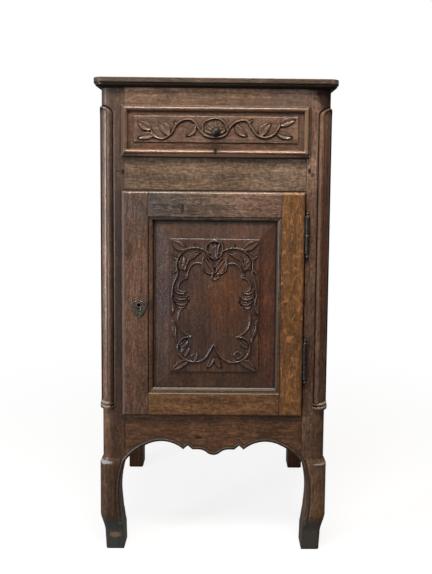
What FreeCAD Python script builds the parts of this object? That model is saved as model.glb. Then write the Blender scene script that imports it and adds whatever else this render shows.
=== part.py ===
import FreeCAD, Part
import math
import os

# Jam cupboard in oak: one drawer over one door, carved corner columns and scrolled front legs.
# Millimetres. +X is the viewer's right, +Y runs to the back and +Z is up.
# While the pieces are made, y = 0 is the front face of the posts and z = 0 is the floor.
# At the end all pieces move together along Y, so that the origin lies under the middle of the whole.

V = FreeCAD.Vector

# Case, from the floor up
WIDTH = 530.0             # over the plain front posts
DEPTH = 427.0             # front face of the posts to the back of the rear posts
APRON_TOP = 345.0         # floor to the door opening
DOOR_OPENING = 512.0      # height of the door opening
MIDDLE_RAIL = 95.0        # height of the rail between door and drawer
DRAWER_OPENING = 100.0    # height of the drawer opening
TOP_RAIL = 48.0           # height of the rail over the drawer
RAIL_THICK = 26.0
TOP_THICK = 20.0
TOP_SIDE = 15.0           # overhang of the top at each side
TOP_FRONT = 18.0          # overhang of the top at the front
TOP_CORNER = 25.0         # plan radius of the front corners of the top
TOP_SPLIT = 210.0         # y of the joint between the two boards of the top
TOP_EDGE = 11.0           # height of the square edge over the moulding
TOP_STEP = 2.5            # step from the square edge back to the ovolo
TOP_OVOLO = 8.5           # radius of the ovolo under the step

# Front posts and their corner columns
POST = 55.0
POST_ROUND = 20.0         # radius of the outer corner
COLUMN_LOW = 350.0        # floor to the base of the column
COLUMN_TOP = 1060.0       # floor to the crown of the arched head
QUIRK_REACH = 30.0        # corner of the post to the outer edge of the quirk
BEAD_REACH = 26.0         # corner of the post to the outer edge of the bead
ROUND_REACH = 20.0        # corner of the post to the round inside the bead
QUIRK_DEEP = 3.0          # sunk ground beside the bead
BEAD_PROUD = 3.5
ROUND_PROUD = 1.0
COLLAR_PROUD = 6.0        # lower fillet of the base, past the post
COLLAR_HIGH = 7.0         # height of the lower fillet
COLLAR_GAP = 4.0
COLLAR_TOP_PROUD = 4.8    # upper fillet of the base
COLLAR_TOP_HIGH = 4.0

# Front legs. Each station of a leg has its height as a share of the leg, the step out of its two
# outer faces past the post, the step of its inner faces towards the corner, and the corner's radius.
LEDGE_HIGH = 229.0        # foot of the plain post
LEDGE_LOW = 216.0         # top of the leg, where the knee stands out
SHANK = [(1.0, 6.0, 2.5, 20.0), (0.9, 6.0, 8.0, 20.0), (0.78, 6.0, 12.5, 20.0), (0.6, 6.0, 13.5, 20.0),
         (0.41, 6.0, 10.5, 20.0)]
ANKLE = [(0.41, 6.0, 10.5, 20.0), (0.345, 2.5, 8.5, 16.0), (0.28, -2.0, 7.0, 11.0), (0.22, -5.0, 5.0, 8.0)]
FOOT = [(0.22, -5.0, 5.0, 8.0), (0.0, -7.5, 4.0, 6.0)]

# Scalloped lower edge of the apron, as heights over the floor
APRON_END = 222.0         # at the posts
PENDANT_LOW = 238.0       # middle drop
PENDANT_HALF = 15.6       # half width of its round tip
PENDANT_HIGH = 243.8      # where the round tip turns into the hollow flank
FLANK_FROM_MIDDLE = 25.3  # halfway up the hollow flank
FLANK_HIGH = 249.5
FLAT_START = 36.3         # distance from the middle
FLAT_END = 50.0
FLAT_HIGH = 251.5
NOTCH_HALF = 11.0
NOTCH_HIGH = 261.0        # point of the notch
ARCH_HIGH = 271.0         # crown of the long arch
CROWN_FROM_POST = 89.0
SHOULDER_HIGH = 262.0     # where the arch starts to fall faster
SHOULDER_FROM_POST = 50.0
HAUNCH_HIGH = 245.5
HAUNCH_FROM_POST = 23.0

# Rear posts, sides, back and inside
REAR_POST = 42.0
REAR_PROUD = 1.0          # rear posts past the front posts, each side
REAR_CHAMFER = 4.0        # worn lower edges
SIDE_THICK = 24.0         # side rails
SIDE_SETBACK = 2.0        # side rails behind the side of the front posts
SIDE_TOP_RAIL = 60.0
SIDE_BOTTOM_RAIL = 75.0
SIDE_ARCH = 22.0          # rise of the arched lower edge of the side rails
PANEL_THICK = 10.0        # side panels and back boards
PANEL_IN = 8.0            # depth of their edges in the grooves
BACK_THICK = 24.0         # back rails
BACK_SETBACK = 5.0        # back rails in front of the back of the rear posts
BACK_TOP_RAIL = 60.0
BACK_BOTTOM_RAIL = 60.0
BACK_BOARDS = 3
BACK_LAP = 8.0            # half lap between back boards
FLOOR_THICK = 14.0
FLOOR_BOARDS = 3
BEARER = 22.0             # square bearers under the floor
SHELF_TOP = 600.0         # floor to the upper face of the shelf
SHELF_THICK = 16.0
SHELF_FRONT = 57.0        # front edge of the shelf behind the posts' faces
CLEAT = 22.0              # square cleats under the shelf

# Joints
TENON_THICK = 9.0
TENON_LONG = 28.0
TENON_SHOULDER = 8.0
PEG_RADIUS = 4.0          # across the corners of a split peg
PEG_SIDES = 8
PEG_PROUD = 0.6
FIT = 0.1                 # clearance round a piece let into another of the same body
RUN = 0.3                 # clearance between pieces that slide or swing past each other
SPARE = 1.0               # reach of a cutter past the piece it trims

# Drawer
LIP = 8.0                 # overlap of drawer and door on the rails
SIDE_LIP = 5.5            # overlap of drawer and door on the posts
OPENING_GAP = 2.0         # gap between the inner part of drawer or door and its opening
DRAWER_SLAB = 8.0         # lip of the drawer front, before its mouldings
DRAWER_INNER = 10.0       # part of the drawer front inside the opening
DRAWER_LONG = 352.0       # drawer box behind the posts' faces
DRAWER_SIDE = 12.0
DRAWER_SIDE_DROP = 5.0    # sides lower than the opening
DRAWER_BOTTOM = 8.0
BOTTOM_UP = 8.0           # bottom board over the lower edge of the sides
BOTTOM_IN = 6.0           # depth of the bottom's grooves
TAILS = 3                 # dovetails in each front corner
TAIL_LONG = 7.0
TAIL_SLOPE = 2.0          # widening of each tail on either side
RING_STEP = 2.5           # square edge outside the torus
RING_WIDE = 12.5
RING_HIGH = 6.5
FIELD_IN_SIDE = 28.5      # outer edge to the raised field, at the ends
FIELD_IN_TOP = 24.0       # outer edge to the raised field, above
FIELD_IN_FOOT = 31.0      # outer edge to the raised field, below
FIELD_HIGH = 2.0
FIELD_BEVEL = 1.5
RUNNER_WIDE = 22.0
RUNNER_HIGH = 27.0
GUIDE_HIGH = 50.0
GUIDE_WIDE = 32.0
KICKER_HIGH = 23.0

# Knob of the drawer
KNOB_RADIUS = 12.0
KNOB_REACH = 42.0         # tip of the knob before the posts' faces
KNOB_DOME = 9.0           # tip to the widest part
KNOB_HEAD = 17.0          # tip to the neck
KNOB_CUTS = 4             # cuts that shape the dome
KNOB_SIDES = 24           # filed flats round the knob
KNOB_NECK = 4.5
KNOB_PLATE = 11.0
KNOB_PLATE_THICK = 2.0
KNOB_STEM = 3.5
KNOB_NUT = 8.0
KNOB_NUT_THICK = 5.0
KNOB_DROP = 3.0           # below the middle of the drawer front

# Door
DOOR_FRONT = 12.0         # face of the door before the posts' faces
DOOR_BACK = 12.0          # back of the door behind the posts' faces
HINGE_GAP = 3.0           # between the door's edge and the hinge post
LOCK_STILE = 62.0
HINGE_STILE = 54.0
DOOR_TOP_RAIL = 58.5
DOOR_BOTTOM_RAIL = 55.5
DOOR_MOULD = 10.0         # width of the moulding on the inner edges
DOOR_MOULD_FALL = 8.0     # fall of that moulding to the panel
DOOR_MOULD_BEND = 7.0     # start of the ovolo's steep part
DOOR_ROUND = 7.0          # radius of the outer front edges
DOOR_TENON = 36.0
GROOVE_FRONT = 0.0        # y of the panel groove
GROOVE_THICK = 6.0
GROOVE_DEEP = 8.0
FIELD_PROUD = 8.5         # field of the panel before the groove
FIELD_STEP = 2.0
FIELD_MARGIN = 40.0       # width of the bevels

# Hinges with a loose pin and filed finials
AXIS_OUT = 3.0            # hinge axis past the inner face of the hinge post
AXIS_FRONT = 6.0          # hinge axis before the posts' faces
BARREL_RADIUS = 5.2
BARREL_LONG = 86.0
BARREL_GAP = 0.4
PIN_RADIUS = 2.5
PIN_RUN = 0.05
PIN_UP = 32.0             # pin inside the upper half
FINIAL_LONG = 15.0
FINIAL_SIDES = 12         # filed flats of a finial
FINIAL_NECK = 2.9         # radius of the neck over the barrel
FINIAL_NECK_AT = 3.0
FINIAL_BELLY = 4.9
FINIAL_BELLY_AT = 7.0
FINIAL_BUTTON = 2.4
FINIAL_BUTTON_AT = 11.0
LEAF_THICK = 2.5
LEAF_DEEP = 34.0
LOWER_HINGE = 124.0       # door opening's bottom to the middle of the lower hinge
UPPER_HINGE = 91.0        # door opening's top to the middle of the upper hinge

# Lock and key plate
KEY_FROM_EDGE = 41.0      # outer edge of the door to the keyhole
KEY_HIGH = 601.0          # floor to the keyhole
KEY_ROUND = 3.4
KEY_SLOT = 2.6
KEY_DROP = 11.0
PLATE_HALF = 18.0         # half the width at the shoulders
PLATE_BELLY = 15.2        # half the width halfway down to the point
PLATE_UP = 12.5           # keyhole to the top of the plate
PLATE_DOWN = 31.0         # keyhole to the point of the plate
PLATE_SHOULDER = 1.5      # shoulders below the top
PLATE_DIP = 4.0           # hollows beside the top, below it
PLATE_THICK = 1.6
LOCK_LONG = 66.0
LOCK_HIGH = 78.0
LOCK_DEEP = 17.0
LOCK_WALL = 2.0
BOLT_LONG = 48.0
BOLT_HIGH = 14.0
BOLT_THICK = 8.0
BOLT_THROW = 10.0
STRIKE_ROOM = 1.5         # room round the bolt in the post

# Places that follow from the sizes
OUTER = WIDTH / 2
INNER = OUTER - POST
RAIL_LOW = APRON_TOP + DOOR_OPENING
RAIL_HIGH = RAIL_LOW + MIDDLE_RAIL
DRAWER_HIGH = RAIL_HIGH + DRAWER_OPENING
CASE_TOP = DRAWER_HIGH + TOP_RAIL
REAR_OUT = OUTER + REAR_PROUD
REAR_IN = REAR_OUT - REAR_POST
REAR_FRONT = DEPTH - REAR_POST
SIDE_OUT = OUTER - SIDE_SETBACK
SIDE_IN = SIDE_OUT - SIDE_THICK
SIDE_MIDDLE = (SIDE_OUT + SIDE_IN) / 2
SIDE_RAIL_LOW = APRON_TOP - SIDE_BOTTOM_RAIL
SIDE_RAIL_HIGH = CASE_TOP - SIDE_TOP_RAIL
BACK_FACE = DEPTH - BACK_SETBACK
BACK_FRONT = BACK_FACE - BACK_THICK
BACK_MIDDLE = (BACK_FRONT + BACK_FACE) / 2
FRONT_SHIFT = (KNOB_REACH - DEPTH) / 2

made = {}


def box(x0, x1, y0, y1, z0, z1):
    return Part.makeBox(x1 - x0, y1 - y0, z1 - z0, V(x0, y0, z0))


def grown(x0, x1, y0, y1, z0, z1, by=FIT):
    return box(x0 - by, x1 + by, y0 - by, y1 + by, z0 - by, z1 + by)


def path_edges(path, place):
    """Edges through the path's points: two points make a line and three an arc."""
    edges = []
    for stretch in path:
        points = [place(*point) for point in stretch]
        if len(points) == 2:
            edges.append(Part.makeLine(points[0], points[1]))
        else:
            edges.append(Part.Arc(*points).toShape())
    return edges


def face_of(path, place):
    return Part.Face(Part.Wire(path_edges(path, place)))


def mirrored(shape):
    return shape.mirror(V(0, 0, 0), V(1, 0, 0))


def cylinder_y(radius, x, y0, y1, z):
    return Part.makeCylinder(radius, y1 - y0, V(x, y0, z), V(0, 1, 0))


def peg(x, y0, y1, z, by=0.0):
    """Split and shaved peg along Y, with flat sides."""
    turns = [2 * math.pi * (side + 0.5) / PEG_SIDES for side in range(PEG_SIDES + 1)]
    radius = PEG_RADIUS + by
    corners = [V(x + radius * math.cos(turn), y0, z + radius * math.sin(turn)) for turn in turns]
    return Part.Face(Part.makePolygon(corners)).extrude(V(0, y1 - y0, 0))


def frustum(front, y0, back, y1):
    """Solid between two upright rectangles, each given as x0, x1, z0, z1."""
    return Part.makeWedge(front[0], y0, front[2], back[2], back[0], front[1], y1, front[3], back[3], back[1])


def filed(outline, sides):
    """Solid round Z with flat filed sides. The outline runs from axis to axis as radius and height."""
    turns = [2 * math.pi * side / sides for side in range(sides + 1)]
    flats = []
    for (r0, z0), (r1, z1) in zip(outline, outline[1:]):
        for t0, t1 in zip(turns, turns[1:]):
            ring = [(r0, t0, z0), (r0, t1, z0), (r1, t1, z1), (r1, t0, z1)]
            if r0 == 0:
                ring = ring[1:]
            if r1 == 0:
                ring = ring[:3]
            corners = [V(r * math.cos(t), r * math.sin(t), z) for r, t, z in ring + ring[:1]]
            flats.append(Part.Face(Part.makePolygon(corners)))
    skin = Part.makeShell(flats)
    skin.sewShape()
    solid = Part.Solid(skin)
    if solid.Volume < 0:
        solid.reverse()
    return solid.removeSplitter()


def mitred_frame(x0, x1, z0, z1, path, reach, spare=0.0):
    """Four lengths of one moulding round a rectangle, mitred: left, right, bottom, top.

    The path gives the section as distance in from the rectangle's edge and depth y. Reach is
    the section's width inwards, and spare is its width past the rectangle."""
    long_x = x1 - x0 + 2 * spare
    long_z = z1 - z0 + 2 * spare
    runs = [
        face_of(path, lambda d, y: V(x0 + d, y, z0 - spare)).extrude(V(0, 0, long_z)),
        face_of(path, lambda d, y: V(x1 - d, y, z0 - spare)).extrude(V(0, 0, long_z)),
        face_of(path, lambda d, y: V(x0 - spare, y, z0 + d)).extrude(V(long_x, 0, 0)),
        face_of(path, lambda d, y: V(x0 - spare, y, z1 - d)).extrude(V(long_x, 0, 0)),
    ]
    outside = [(x0 - spare, z0 - spare), (x1 + spare, z0 - spare)]
    outside += [(x1 + spare, z1 + spare), (x0 - spare, z1 + spare)]
    inside = [(x0 + reach, z0 + reach), (x1 - reach, z0 + reach)]
    inside += [(x1 - reach, z1 - reach), (x0 + reach, z1 - reach)]
    sides = [(0, 3), (1, 2), (0, 1), (3, 2)]
    pieces = []
    for run, (first, second) in zip(runs, sides):
        low = run.BoundBox.YMin - SPARE
        corners = [outside[first], outside[second], inside[second], inside[first], outside[first]]
        mask = Part.Face(Part.makePolygon([V(x, low, z) for x, z in corners]))
        pieces.append(run.common(mask.extrude(V(0, run.BoundBox.YLength + 2 * SPARE, 0))))
    return pieces


def joined(first, *others):
    return first.fuse(list(others)).removeSplitter()


def keep(name, shape):
    """Store a piece under its name, as its one solid or as a group of solids."""
    solids = shape.Solids
    made[name] = solids[0] if len(solids) == 1 else Part.makeCompound(solids)


# Tenons of the front rails, side rails and back rails, for the right-hand side.
def front_tenon(z0, z1, by=0.0):
    y0 = (RAIL_THICK - TENON_THICK) / 2
    low = z0 + TENON_SHOULDER
    high = z1 - TENON_SHOULDER
    return grown(INNER - by, INNER + TENON_LONG, y0, y0 + TENON_THICK, low, high, by)


def side_tenons(z0, z1, by=0.0):
    x0 = SIDE_MIDDLE - TENON_THICK / 2
    x1 = SIDE_MIDDLE + TENON_THICK / 2
    low = z0 + TENON_SHOULDER
    high = z1 - TENON_SHOULDER
    front = grown(x0, x1, POST - TENON_LONG, POST + by, low, high, by)
    back = grown(x0, x1, REAR_FRONT - by, REAR_FRONT + TENON_LONG, low, high, by)
    return [front, back]


def back_tenon(z0, z1, by=0.0):
    y0 = BACK_MIDDLE - TENON_THICK / 2
    low = z0 + TENON_SHOULDER
    high = z1 - TENON_SHOULDER
    long = SIDE_MIDDLE - TENON_THICK - REAR_IN
    return grown(REAR_IN - by, REAR_IN + long, y0, y0 + TENON_THICK, low, high, by)


FRONT_RAILS = {
    "top_front_rail": (DRAWER_HIGH, CASE_TOP),
    "middle_front_rail": (RAIL_LOW, RAIL_HIGH),
    "apron": (LEDGE_HIGH + TENON_SHOULDER, APRON_TOP),
}
SIDE_RAILS = {
    "side_top_rail": (SIDE_RAIL_HIGH, CASE_TOP),
    "side_bottom_rail": (SIDE_RAIL_LOW, APRON_TOP),
}
BACK_RAILS = {
    "back_top_rail": (CASE_TOP - BACK_TOP_RAIL, CASE_TOP),
    "back_bottom_rail": (APRON_TOP - BACK_BOTTOM_RAIL, APRON_TOP),
}


def front_pegs(by=0.0):
    """Pegs through the front tenons on the right-hand side."""
    x = INNER + TENON_LONG / 2
    pegs = []
    for z0, z1 in FRONT_RAILS.values():
        middle = (z0 + z1) / 2
        pegs.append(peg(x, -PEG_PROUD, RAIL_THICK, middle, by))
    return pegs


# Front post: plain timber with a rounded corner, carved column above and scrolled leg below.
def post_section(sunk, radius, z):
    """Plan outline of the post at height z, its two outer faces sunk by the given depth."""
    corner = OUTER - sunk
    bend = radius * (1 - math.sqrt(0.5))
    path = [
        [(INNER, sunk), (corner - radius, sunk)],
        [(corner - radius, sunk), (corner - bend, sunk + bend), (corner, sunk + radius)],
        [(corner, sunk + radius), (corner, POST)],
        [(corner, POST), (INNER, POST)],
        [(INNER, POST), (INNER, sunk)],
    ]
    return face_of(path, lambda x, y: V(x, y, z))


def leg_section(z, out, inner_in, radius):
    """Plan outline of the leg, which stands out or in past the post's two outer faces."""
    edge = OUTER + out
    front = -out
    quirk = OUTER - QUIRK_REACH
    inside = INNER + inner_in
    flush = max(0.0, front)
    bend = radius * (1 - math.sqrt(0.5))
    path = [
        [(inside, flush), (quirk, front)],
        [(quirk, front), (edge - radius, front)],
        [(edge - radius, front), (edge - bend, front + bend), (edge, front + radius)],
        [(edge, front + radius), (edge, QUIRK_REACH)],
        [(edge, QUIRK_REACH), (OUTER - flush, OUTER - inside)],
        [(OUTER - flush, OUTER - inside), (inside, OUTER - inside)],
        [(inside, OUTER - inside), (inside, flush)],
    ]
    return Part.Wire(path_edges(path, lambda x, y: V(x, y, z)))


def column_arch(reach, low, spring):
    """Upright slab with a round head, set across the post's corner at 45 degrees."""
    half = reach / math.sqrt(2)
    across = V(1, 1, 0).normalize()
    outward = V(1, -1, 0).normalize()
    start = V(OUTER, 0, 0) - outward * POST / 2
    path = [
        [(-half, low), (half, low)],
        [(half, low), (half, spring)],
        [(half, spring), (0, spring + half), (-half, spring)],
        [(-half, spring), (-half, low)],
    ]
    return face_of(path, lambda s, z: start + across * s + V(0, 0, z)).extrude(outward * POST)


def corner_column(post):
    spring = COLUMN_TOP - QUIRK_REACH / math.sqrt(2)
    tall = V(0, 0, COLUMN_TOP - COLUMN_LOW)
    ground = post_section(QUIRK_DEEP, POST_ROUND, COLUMN_LOW).extrude(tall)
    proud = post_section(-BEAD_PROUD, POST_ROUND, COLUMN_LOW).extrude(tall)
    rounded = post_section(-ROUND_PROUD, POST_ROUND, COLUMN_LOW).extrude(tall)
    inner_arch = column_arch(ROUND_REACH, COLUMN_LOW, spring)
    bead = proud.common(column_arch(BEAD_REACH, COLUMN_LOW, spring)).cut(inner_arch)
    post = post.cut(column_arch(QUIRK_REACH, COLUMN_LOW, spring).cut(ground))
    pieces = [bead, rounded.common(inner_arch)]
    upper = COLUMN_LOW + COLLAR_HIGH + COLLAR_GAP
    collars = [(COLUMN_LOW, COLLAR_HIGH, COLLAR_PROUD), (upper, COLLAR_TOP_HIGH, COLLAR_TOP_PROUD)]
    for low, high, out in collars:
        collar = post_section(-out, POST_ROUND + out, low).extrude(V(0, 0, high))
        pieces.append(collar.common(column_arch(QUIRK_REACH, COLUMN_LOW, spring)))
    return joined(post, *pieces)


def front_post():
    post = post_section(0.0, POST_ROUND, LEDGE_HIGH).extrude(V(0, 0, CASE_TOP - LEDGE_HIGH))
    post = corner_column(post)
    ledge = leg_section(LEDGE_HIGH, 0.0, 0.0, POST_ROUND)
    lengths = []
    for stations in (SHANK, ANKLE, FOOT):
        outlines = [leg_section(share * LEDGE_LOW, *steps) for share, *steps in stations]
        lengths.append(Part.makeLoft(outlines, True, False))
    knee = Part.makeLoft([ledge, leg_section(LEDGE_LOW, *SHANK[0][1:])], True, True)
    post = joined(post, knee, *lengths)
    for z0, z1 in FRONT_RAILS.values():
        post = post.cut(front_tenon(z0, z1, FIT))
    for z0, z1 in SIDE_RAILS.values():
        post = post.cut(side_tenons(z0, z1, FIT)[0])
    post = post.cut(side_groove(POST - PANEL_IN, POST))
    return post.cut(front_pegs(FIT))


def side_groove(y0, y1):
    """Room for the upright edge of a side panel in a post."""
    x0 = SIDE_MIDDLE - PANEL_THICK / 2
    return grown(x0, x0 + PANEL_THICK, y0, y1, APRON_TOP - PANEL_IN, SIDE_RAIL_HIGH + PANEL_IN)


def make_front_posts():
    post = front_post()
    left = mirrored(post).cut(bolt_box(BOLT_THROW, STRIKE_ROOM))
    right = post
    for middle in hinge_heights():
        right = right.cut(frame_leaf(middle, FIT))
    keep("front_post_left", left)
    keep("front_post_right", right)


def make_rear_posts():
    post = box(REAR_IN, REAR_OUT, REAR_FRONT, DEPTH, 0, CASE_TOP)
    foot_edges = [e for e in post.Edges if e.BoundBox.ZMax < REAR_CHAMFER / 2]
    post = post.makeChamfer(REAR_CHAMFER, foot_edges)
    for z0, z1 in SIDE_RAILS.values():
        post = post.cut(side_tenons(z0, z1, FIT)[1])
    for z0, z1 in BACK_RAILS.values():
        post = post.cut(back_tenon(z0, z1, FIT))
    post = post.cut(side_groove(REAR_FRONT, REAR_FRONT + PANEL_IN))
    y0 = BACK_MIDDLE - PANEL_THICK / 2
    low = APRON_TOP - PANEL_IN
    high = CASE_TOP - BACK_TOP_RAIL + PANEL_IN
    post = post.cut(grown(REAR_IN, REAR_IN + PANEL_IN, y0, y0 + PANEL_THICK, low, high))
    keep("rear_post_right", post)
    keep("rear_post_left", mirrored(post))


# Rails between the posts.
def apron_board():
    """Apron with its scalloped lower edge: pendant, flat, pointed notch and a long arch to each post."""
    notch = (FLAT_END + NOTCH_HALF, NOTCH_HIGH)
    cusp = FLAT_END + 2 * NOTCH_HALF
    crown = INNER - CROWN_FROM_POST
    shoulder = (INNER - SHOULDER_FROM_POST, SHOULDER_HIGH)
    haunch = (INNER - HAUNCH_FROM_POST, HAUNCH_HIGH)
    half = [
        [(PENDANT_HALF, PENDANT_HIGH), (FLANK_FROM_MIDDLE, FLANK_HIGH), (FLAT_START, FLAT_HIGH)],
        [(FLAT_START, FLAT_HIGH), (FLAT_END, FLAT_HIGH)],
        [(FLAT_END, FLAT_HIGH), notch],
        [notch, (cusp, FLAT_HIGH)],
        [(cusp, FLAT_HIGH), (crown, ARCH_HIGH), shoulder],
        [shoulder, haunch, (INNER, APRON_END)],
    ]
    place = lambda x, z: V(x, 0, z)
    edges = path_edges(half, place)
    drop = [(-PENDANT_HALF, PENDANT_HIGH), (0, PENDANT_LOW), (PENDANT_HALF, PENDANT_HIGH)]
    ends = [
        [(INNER, APRON_END), (INNER, APRON_TOP)],
        [(INNER, APRON_TOP), (-INNER, APRON_TOP)],
        [(-INNER, APRON_TOP), (-INNER, APRON_END)],
    ]
    left = [mirrored(edge) for edge in edges]
    loop = left + path_edges([drop], place) + edges + path_edges(ends, place)
    outline = Part.Wire(Part.__sortEdges__(loop))
    return Part.Face(outline).extrude(V(0, RAIL_THICK, 0))


def make_front_rails():
    for name, (z0, z1) in FRONT_RAILS.items():
        board = apron_board() if name == "apron" else box(-INNER, INNER, 0, RAIL_THICK, z0, z1)
        tenon = front_tenon(z0, z1)
        rail = joined(board, tenon, mirrored(tenon))
        for hole in front_pegs(FIT):
            rail = rail.cut([hole, mirrored(hole)])
        keep(name, rail)


def make_side_rails():
    for name, (z0, z1) in SIDE_RAILS.items():
        rail = box(SIDE_IN, SIDE_OUT, POST, REAR_FRONT, z0, z1)
        groove = z1 if z1 < CASE_TOP else z0
        x0 = SIDE_MIDDLE - PANEL_THICK / 2
        if groove == z1:
            middle = (POST + REAR_FRONT) / 2
            lower = [(POST, z0), (middle, z0 + SIDE_ARCH), (REAR_FRONT, z0)]
            under = [[(POST, z0), (REAR_FRONT, z0)], lower]
            scallop = face_of(under, lambda y, z: V(SIDE_IN, y, z)).extrude(V(SIDE_THICK, 0, 0))
            rail = rail.cut(scallop)
        rail = joined(rail, *side_tenons(z0, z1))
        edge = grown(x0, x0 + PANEL_THICK, POST - TENON_LONG, REAR_FRONT + TENON_LONG,
                     groove - PANEL_IN, groove + PANEL_IN)
        rail = rail.cut(edge)
        keep(name + "_right", rail)
        keep(name + "_left", mirrored(rail))


def make_side_panels():
    x0 = SIDE_MIDDLE - PANEL_THICK / 2
    panel = box(x0, x0 + PANEL_THICK, POST - PANEL_IN, REAR_FRONT + PANEL_IN,
                APRON_TOP - PANEL_IN, SIDE_RAIL_HIGH + PANEL_IN)
    keep("side_panel_right", panel)
    keep("side_panel_left", mirrored(panel))


def make_back():
    low = APRON_TOP - PANEL_IN
    high = CASE_TOP - BACK_TOP_RAIL + PANEL_IN
    y0 = BACK_MIDDLE - PANEL_THICK / 2
    y1 = y0 + PANEL_THICK
    for name, (z0, z1) in BACK_RAILS.items():
        tenon = back_tenon(z0, z1)
        rail = joined(box(-REAR_IN, REAR_IN, BACK_FRONT, BACK_FACE, z0, z1), tenon, mirrored(tenon))
        keep(name, rail.cut(grown(-REAR_OUT, REAR_OUT, y0, y1, low, high)))
    reach = REAR_IN + PANEL_IN
    pitch = 2 * reach / BACK_BOARDS
    names = ["left", "middle", "right"]
    for index, name in enumerate(names):
        x0 = -reach + index * pitch
        board = box(x0, x0 + pitch, y0, y1, low, high)
        if index > 0:
            board = board.fuse(box(x0 - BACK_LAP, x0, y0, BACK_MIDDLE - FIT, low, high))
        if index < BACK_BOARDS - 1:
            lap = box(x0 + pitch - BACK_LAP - FIT, x0 + pitch, y0, BACK_MIDDLE, low, high)
            board = board.cut(lap)
        keep("back_board_" + name, board.removeSplitter())


# Top: two boards with a square edge, a step and an ovolo on the front and the sides.
def top_slab(inset, z0, z1):
    side = OUTER + TOP_SIDE - inset
    front = -TOP_FRONT + inset
    radius = TOP_CORNER - inset
    bend = radius * (1 - math.sqrt(0.5))
    path = [
        [(-side, DEPTH), (-side, front + radius)],
        [(-side, front + radius), (-side + bend, front + bend), (-side + radius, front)],
        [(-side + radius, front), (side - radius, front)],
        [(side - radius, front), (side - bend, front + bend), (side, front + radius)],
        [(side, front + radius), (side, DEPTH)],
        [(side, DEPTH), (-side, DEPTH)],
    ]
    return face_of(path, lambda x, y: V(x, y, z0)).extrude(V(0, 0, z1 - z0))


def make_top():
    step = CASE_TOP + TOP_THICK - TOP_EDGE
    upper = top_slab(0.0, step, CASE_TOP + TOP_THICK)
    lower = top_slab(TOP_STEP, CASE_TOP, step)
    foot = [e for e in lower.Edges if e.BoundBox.ZMax < CASE_TOP + FIT
            and e.BoundBox.YMin < DEPTH - FIT]
    lower = lower.makeFillet(min(TOP_OVOLO, TOP_THICK - TOP_EDGE - FIT), foot)
    top = joined(upper, lower)
    reach = OUTER + TOP_SIDE
    front = box(-reach, reach, -TOP_FRONT, TOP_SPLIT, CASE_TOP, CASE_TOP + TOP_THICK)
    keep("top_front_board", top.common(front))
    keep("top_back_board", top.cut(front))


# Floor, shelf and drawer slides inside the case.
def post_room(by):
    """Space taken by the four posts inside the case, with a gap round it."""
    front = grown(INNER, OUTER, 0, POST, LEDGE_HIGH, CASE_TOP, by)
    rear = grown(REAR_IN, REAR_OUT, REAR_FRONT, DEPTH, 0, CASE_TOP, by)
    return [front, mirrored(front), rear, mirrored(rear)]


def make_floor():
    low = APRON_TOP - FLOOR_THICK
    pitch = (BACK_FRONT - RAIL_THICK) / FLOOR_BOARDS
    names = ["front", "middle", "back"]
    for index, name in enumerate(names):
        y0 = RAIL_THICK + index * pitch
        board = box(-SIDE_IN, SIDE_IN, y0, y0 + pitch, low, APRON_TOP)
        keep("floor_board_" + name, board.cut(post_room(FIT)))
    bearer = box(SIDE_IN - BEARER, SIDE_IN, POST, REAR_FRONT, low - BEARER, low)
    keep("floor_bearer_right", bearer)
    keep("floor_bearer_left", mirrored(bearer))


def make_shelf():
    panel_face = SIDE_MIDDLE - PANEL_THICK / 2
    low = SHELF_TOP - SHELF_THICK
    shelf = box(-panel_face + FIT, panel_face - FIT, SHELF_FRONT, BACK_FRONT, low, SHELF_TOP)
    keep("shelf", shelf.cut(post_room(FIT)))
    cleat = box(panel_face - CLEAT, panel_face, POST, REAR_FRONT, low - CLEAT, low)
    keep("shelf_cleat_right", cleat)
    keep("shelf_cleat_left", mirrored(cleat))


def make_drawer_slides():
    guide_face = INNER - OPENING_GAP + RUN
    inside = guide_face - RUNNER_WIDE
    runner = box(inside, guide_face, RAIL_THICK, REAR_FRONT, RAIL_HIGH - RUNNER_HIGH, RAIL_HIGH)
    guide_low = RAIL_HIGH - RUNNER_HIGH
    guide = box(guide_face, guide_face + GUIDE_WIDE, POST, REAR_FRONT, guide_low, guide_low + GUIDE_HIGH)
    kicker = box(inside, guide_face, RAIL_THICK, BACK_FRONT, DRAWER_HIGH, DRAWER_HIGH + KICKER_HIGH)
    for name, bar in (("runner", runner), ("guide", guide), ("kicker", kicker)):
        keep("drawer_" + name + "_right", bar)
        keep("drawer_" + name + "_left", mirrored(bar))


def make_frame_pegs():
    pegs = front_pegs()
    keep("frame_pegs", Part.makeCompound(pegs + [mirrored(one) for one in pegs]))


# Drawer: lipped front dovetailed to its sides, bottom in grooves, back over the bottom.
DRAWER_OUT = INNER + SIDE_LIP
DRAWER_LIP_LOW = RAIL_HIGH - LIP
DRAWER_LIP_HIGH = DRAWER_HIGH + LIP
DRAWER_BODY = INNER - OPENING_GAP
SIDE_LOW = RAIL_HIGH + RUN
SIDE_HIGH = DRAWER_HIGH - DRAWER_SIDE_DROP
BOTTOM_LOW = SIDE_LOW + BOTTOM_UP
BOTTOM_HIGH = BOTTOM_LOW + DRAWER_BOTTOM
KNOB_Z = (DRAWER_LIP_LOW + DRAWER_LIP_HIGH) / 2 - KNOB_DROP


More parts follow.
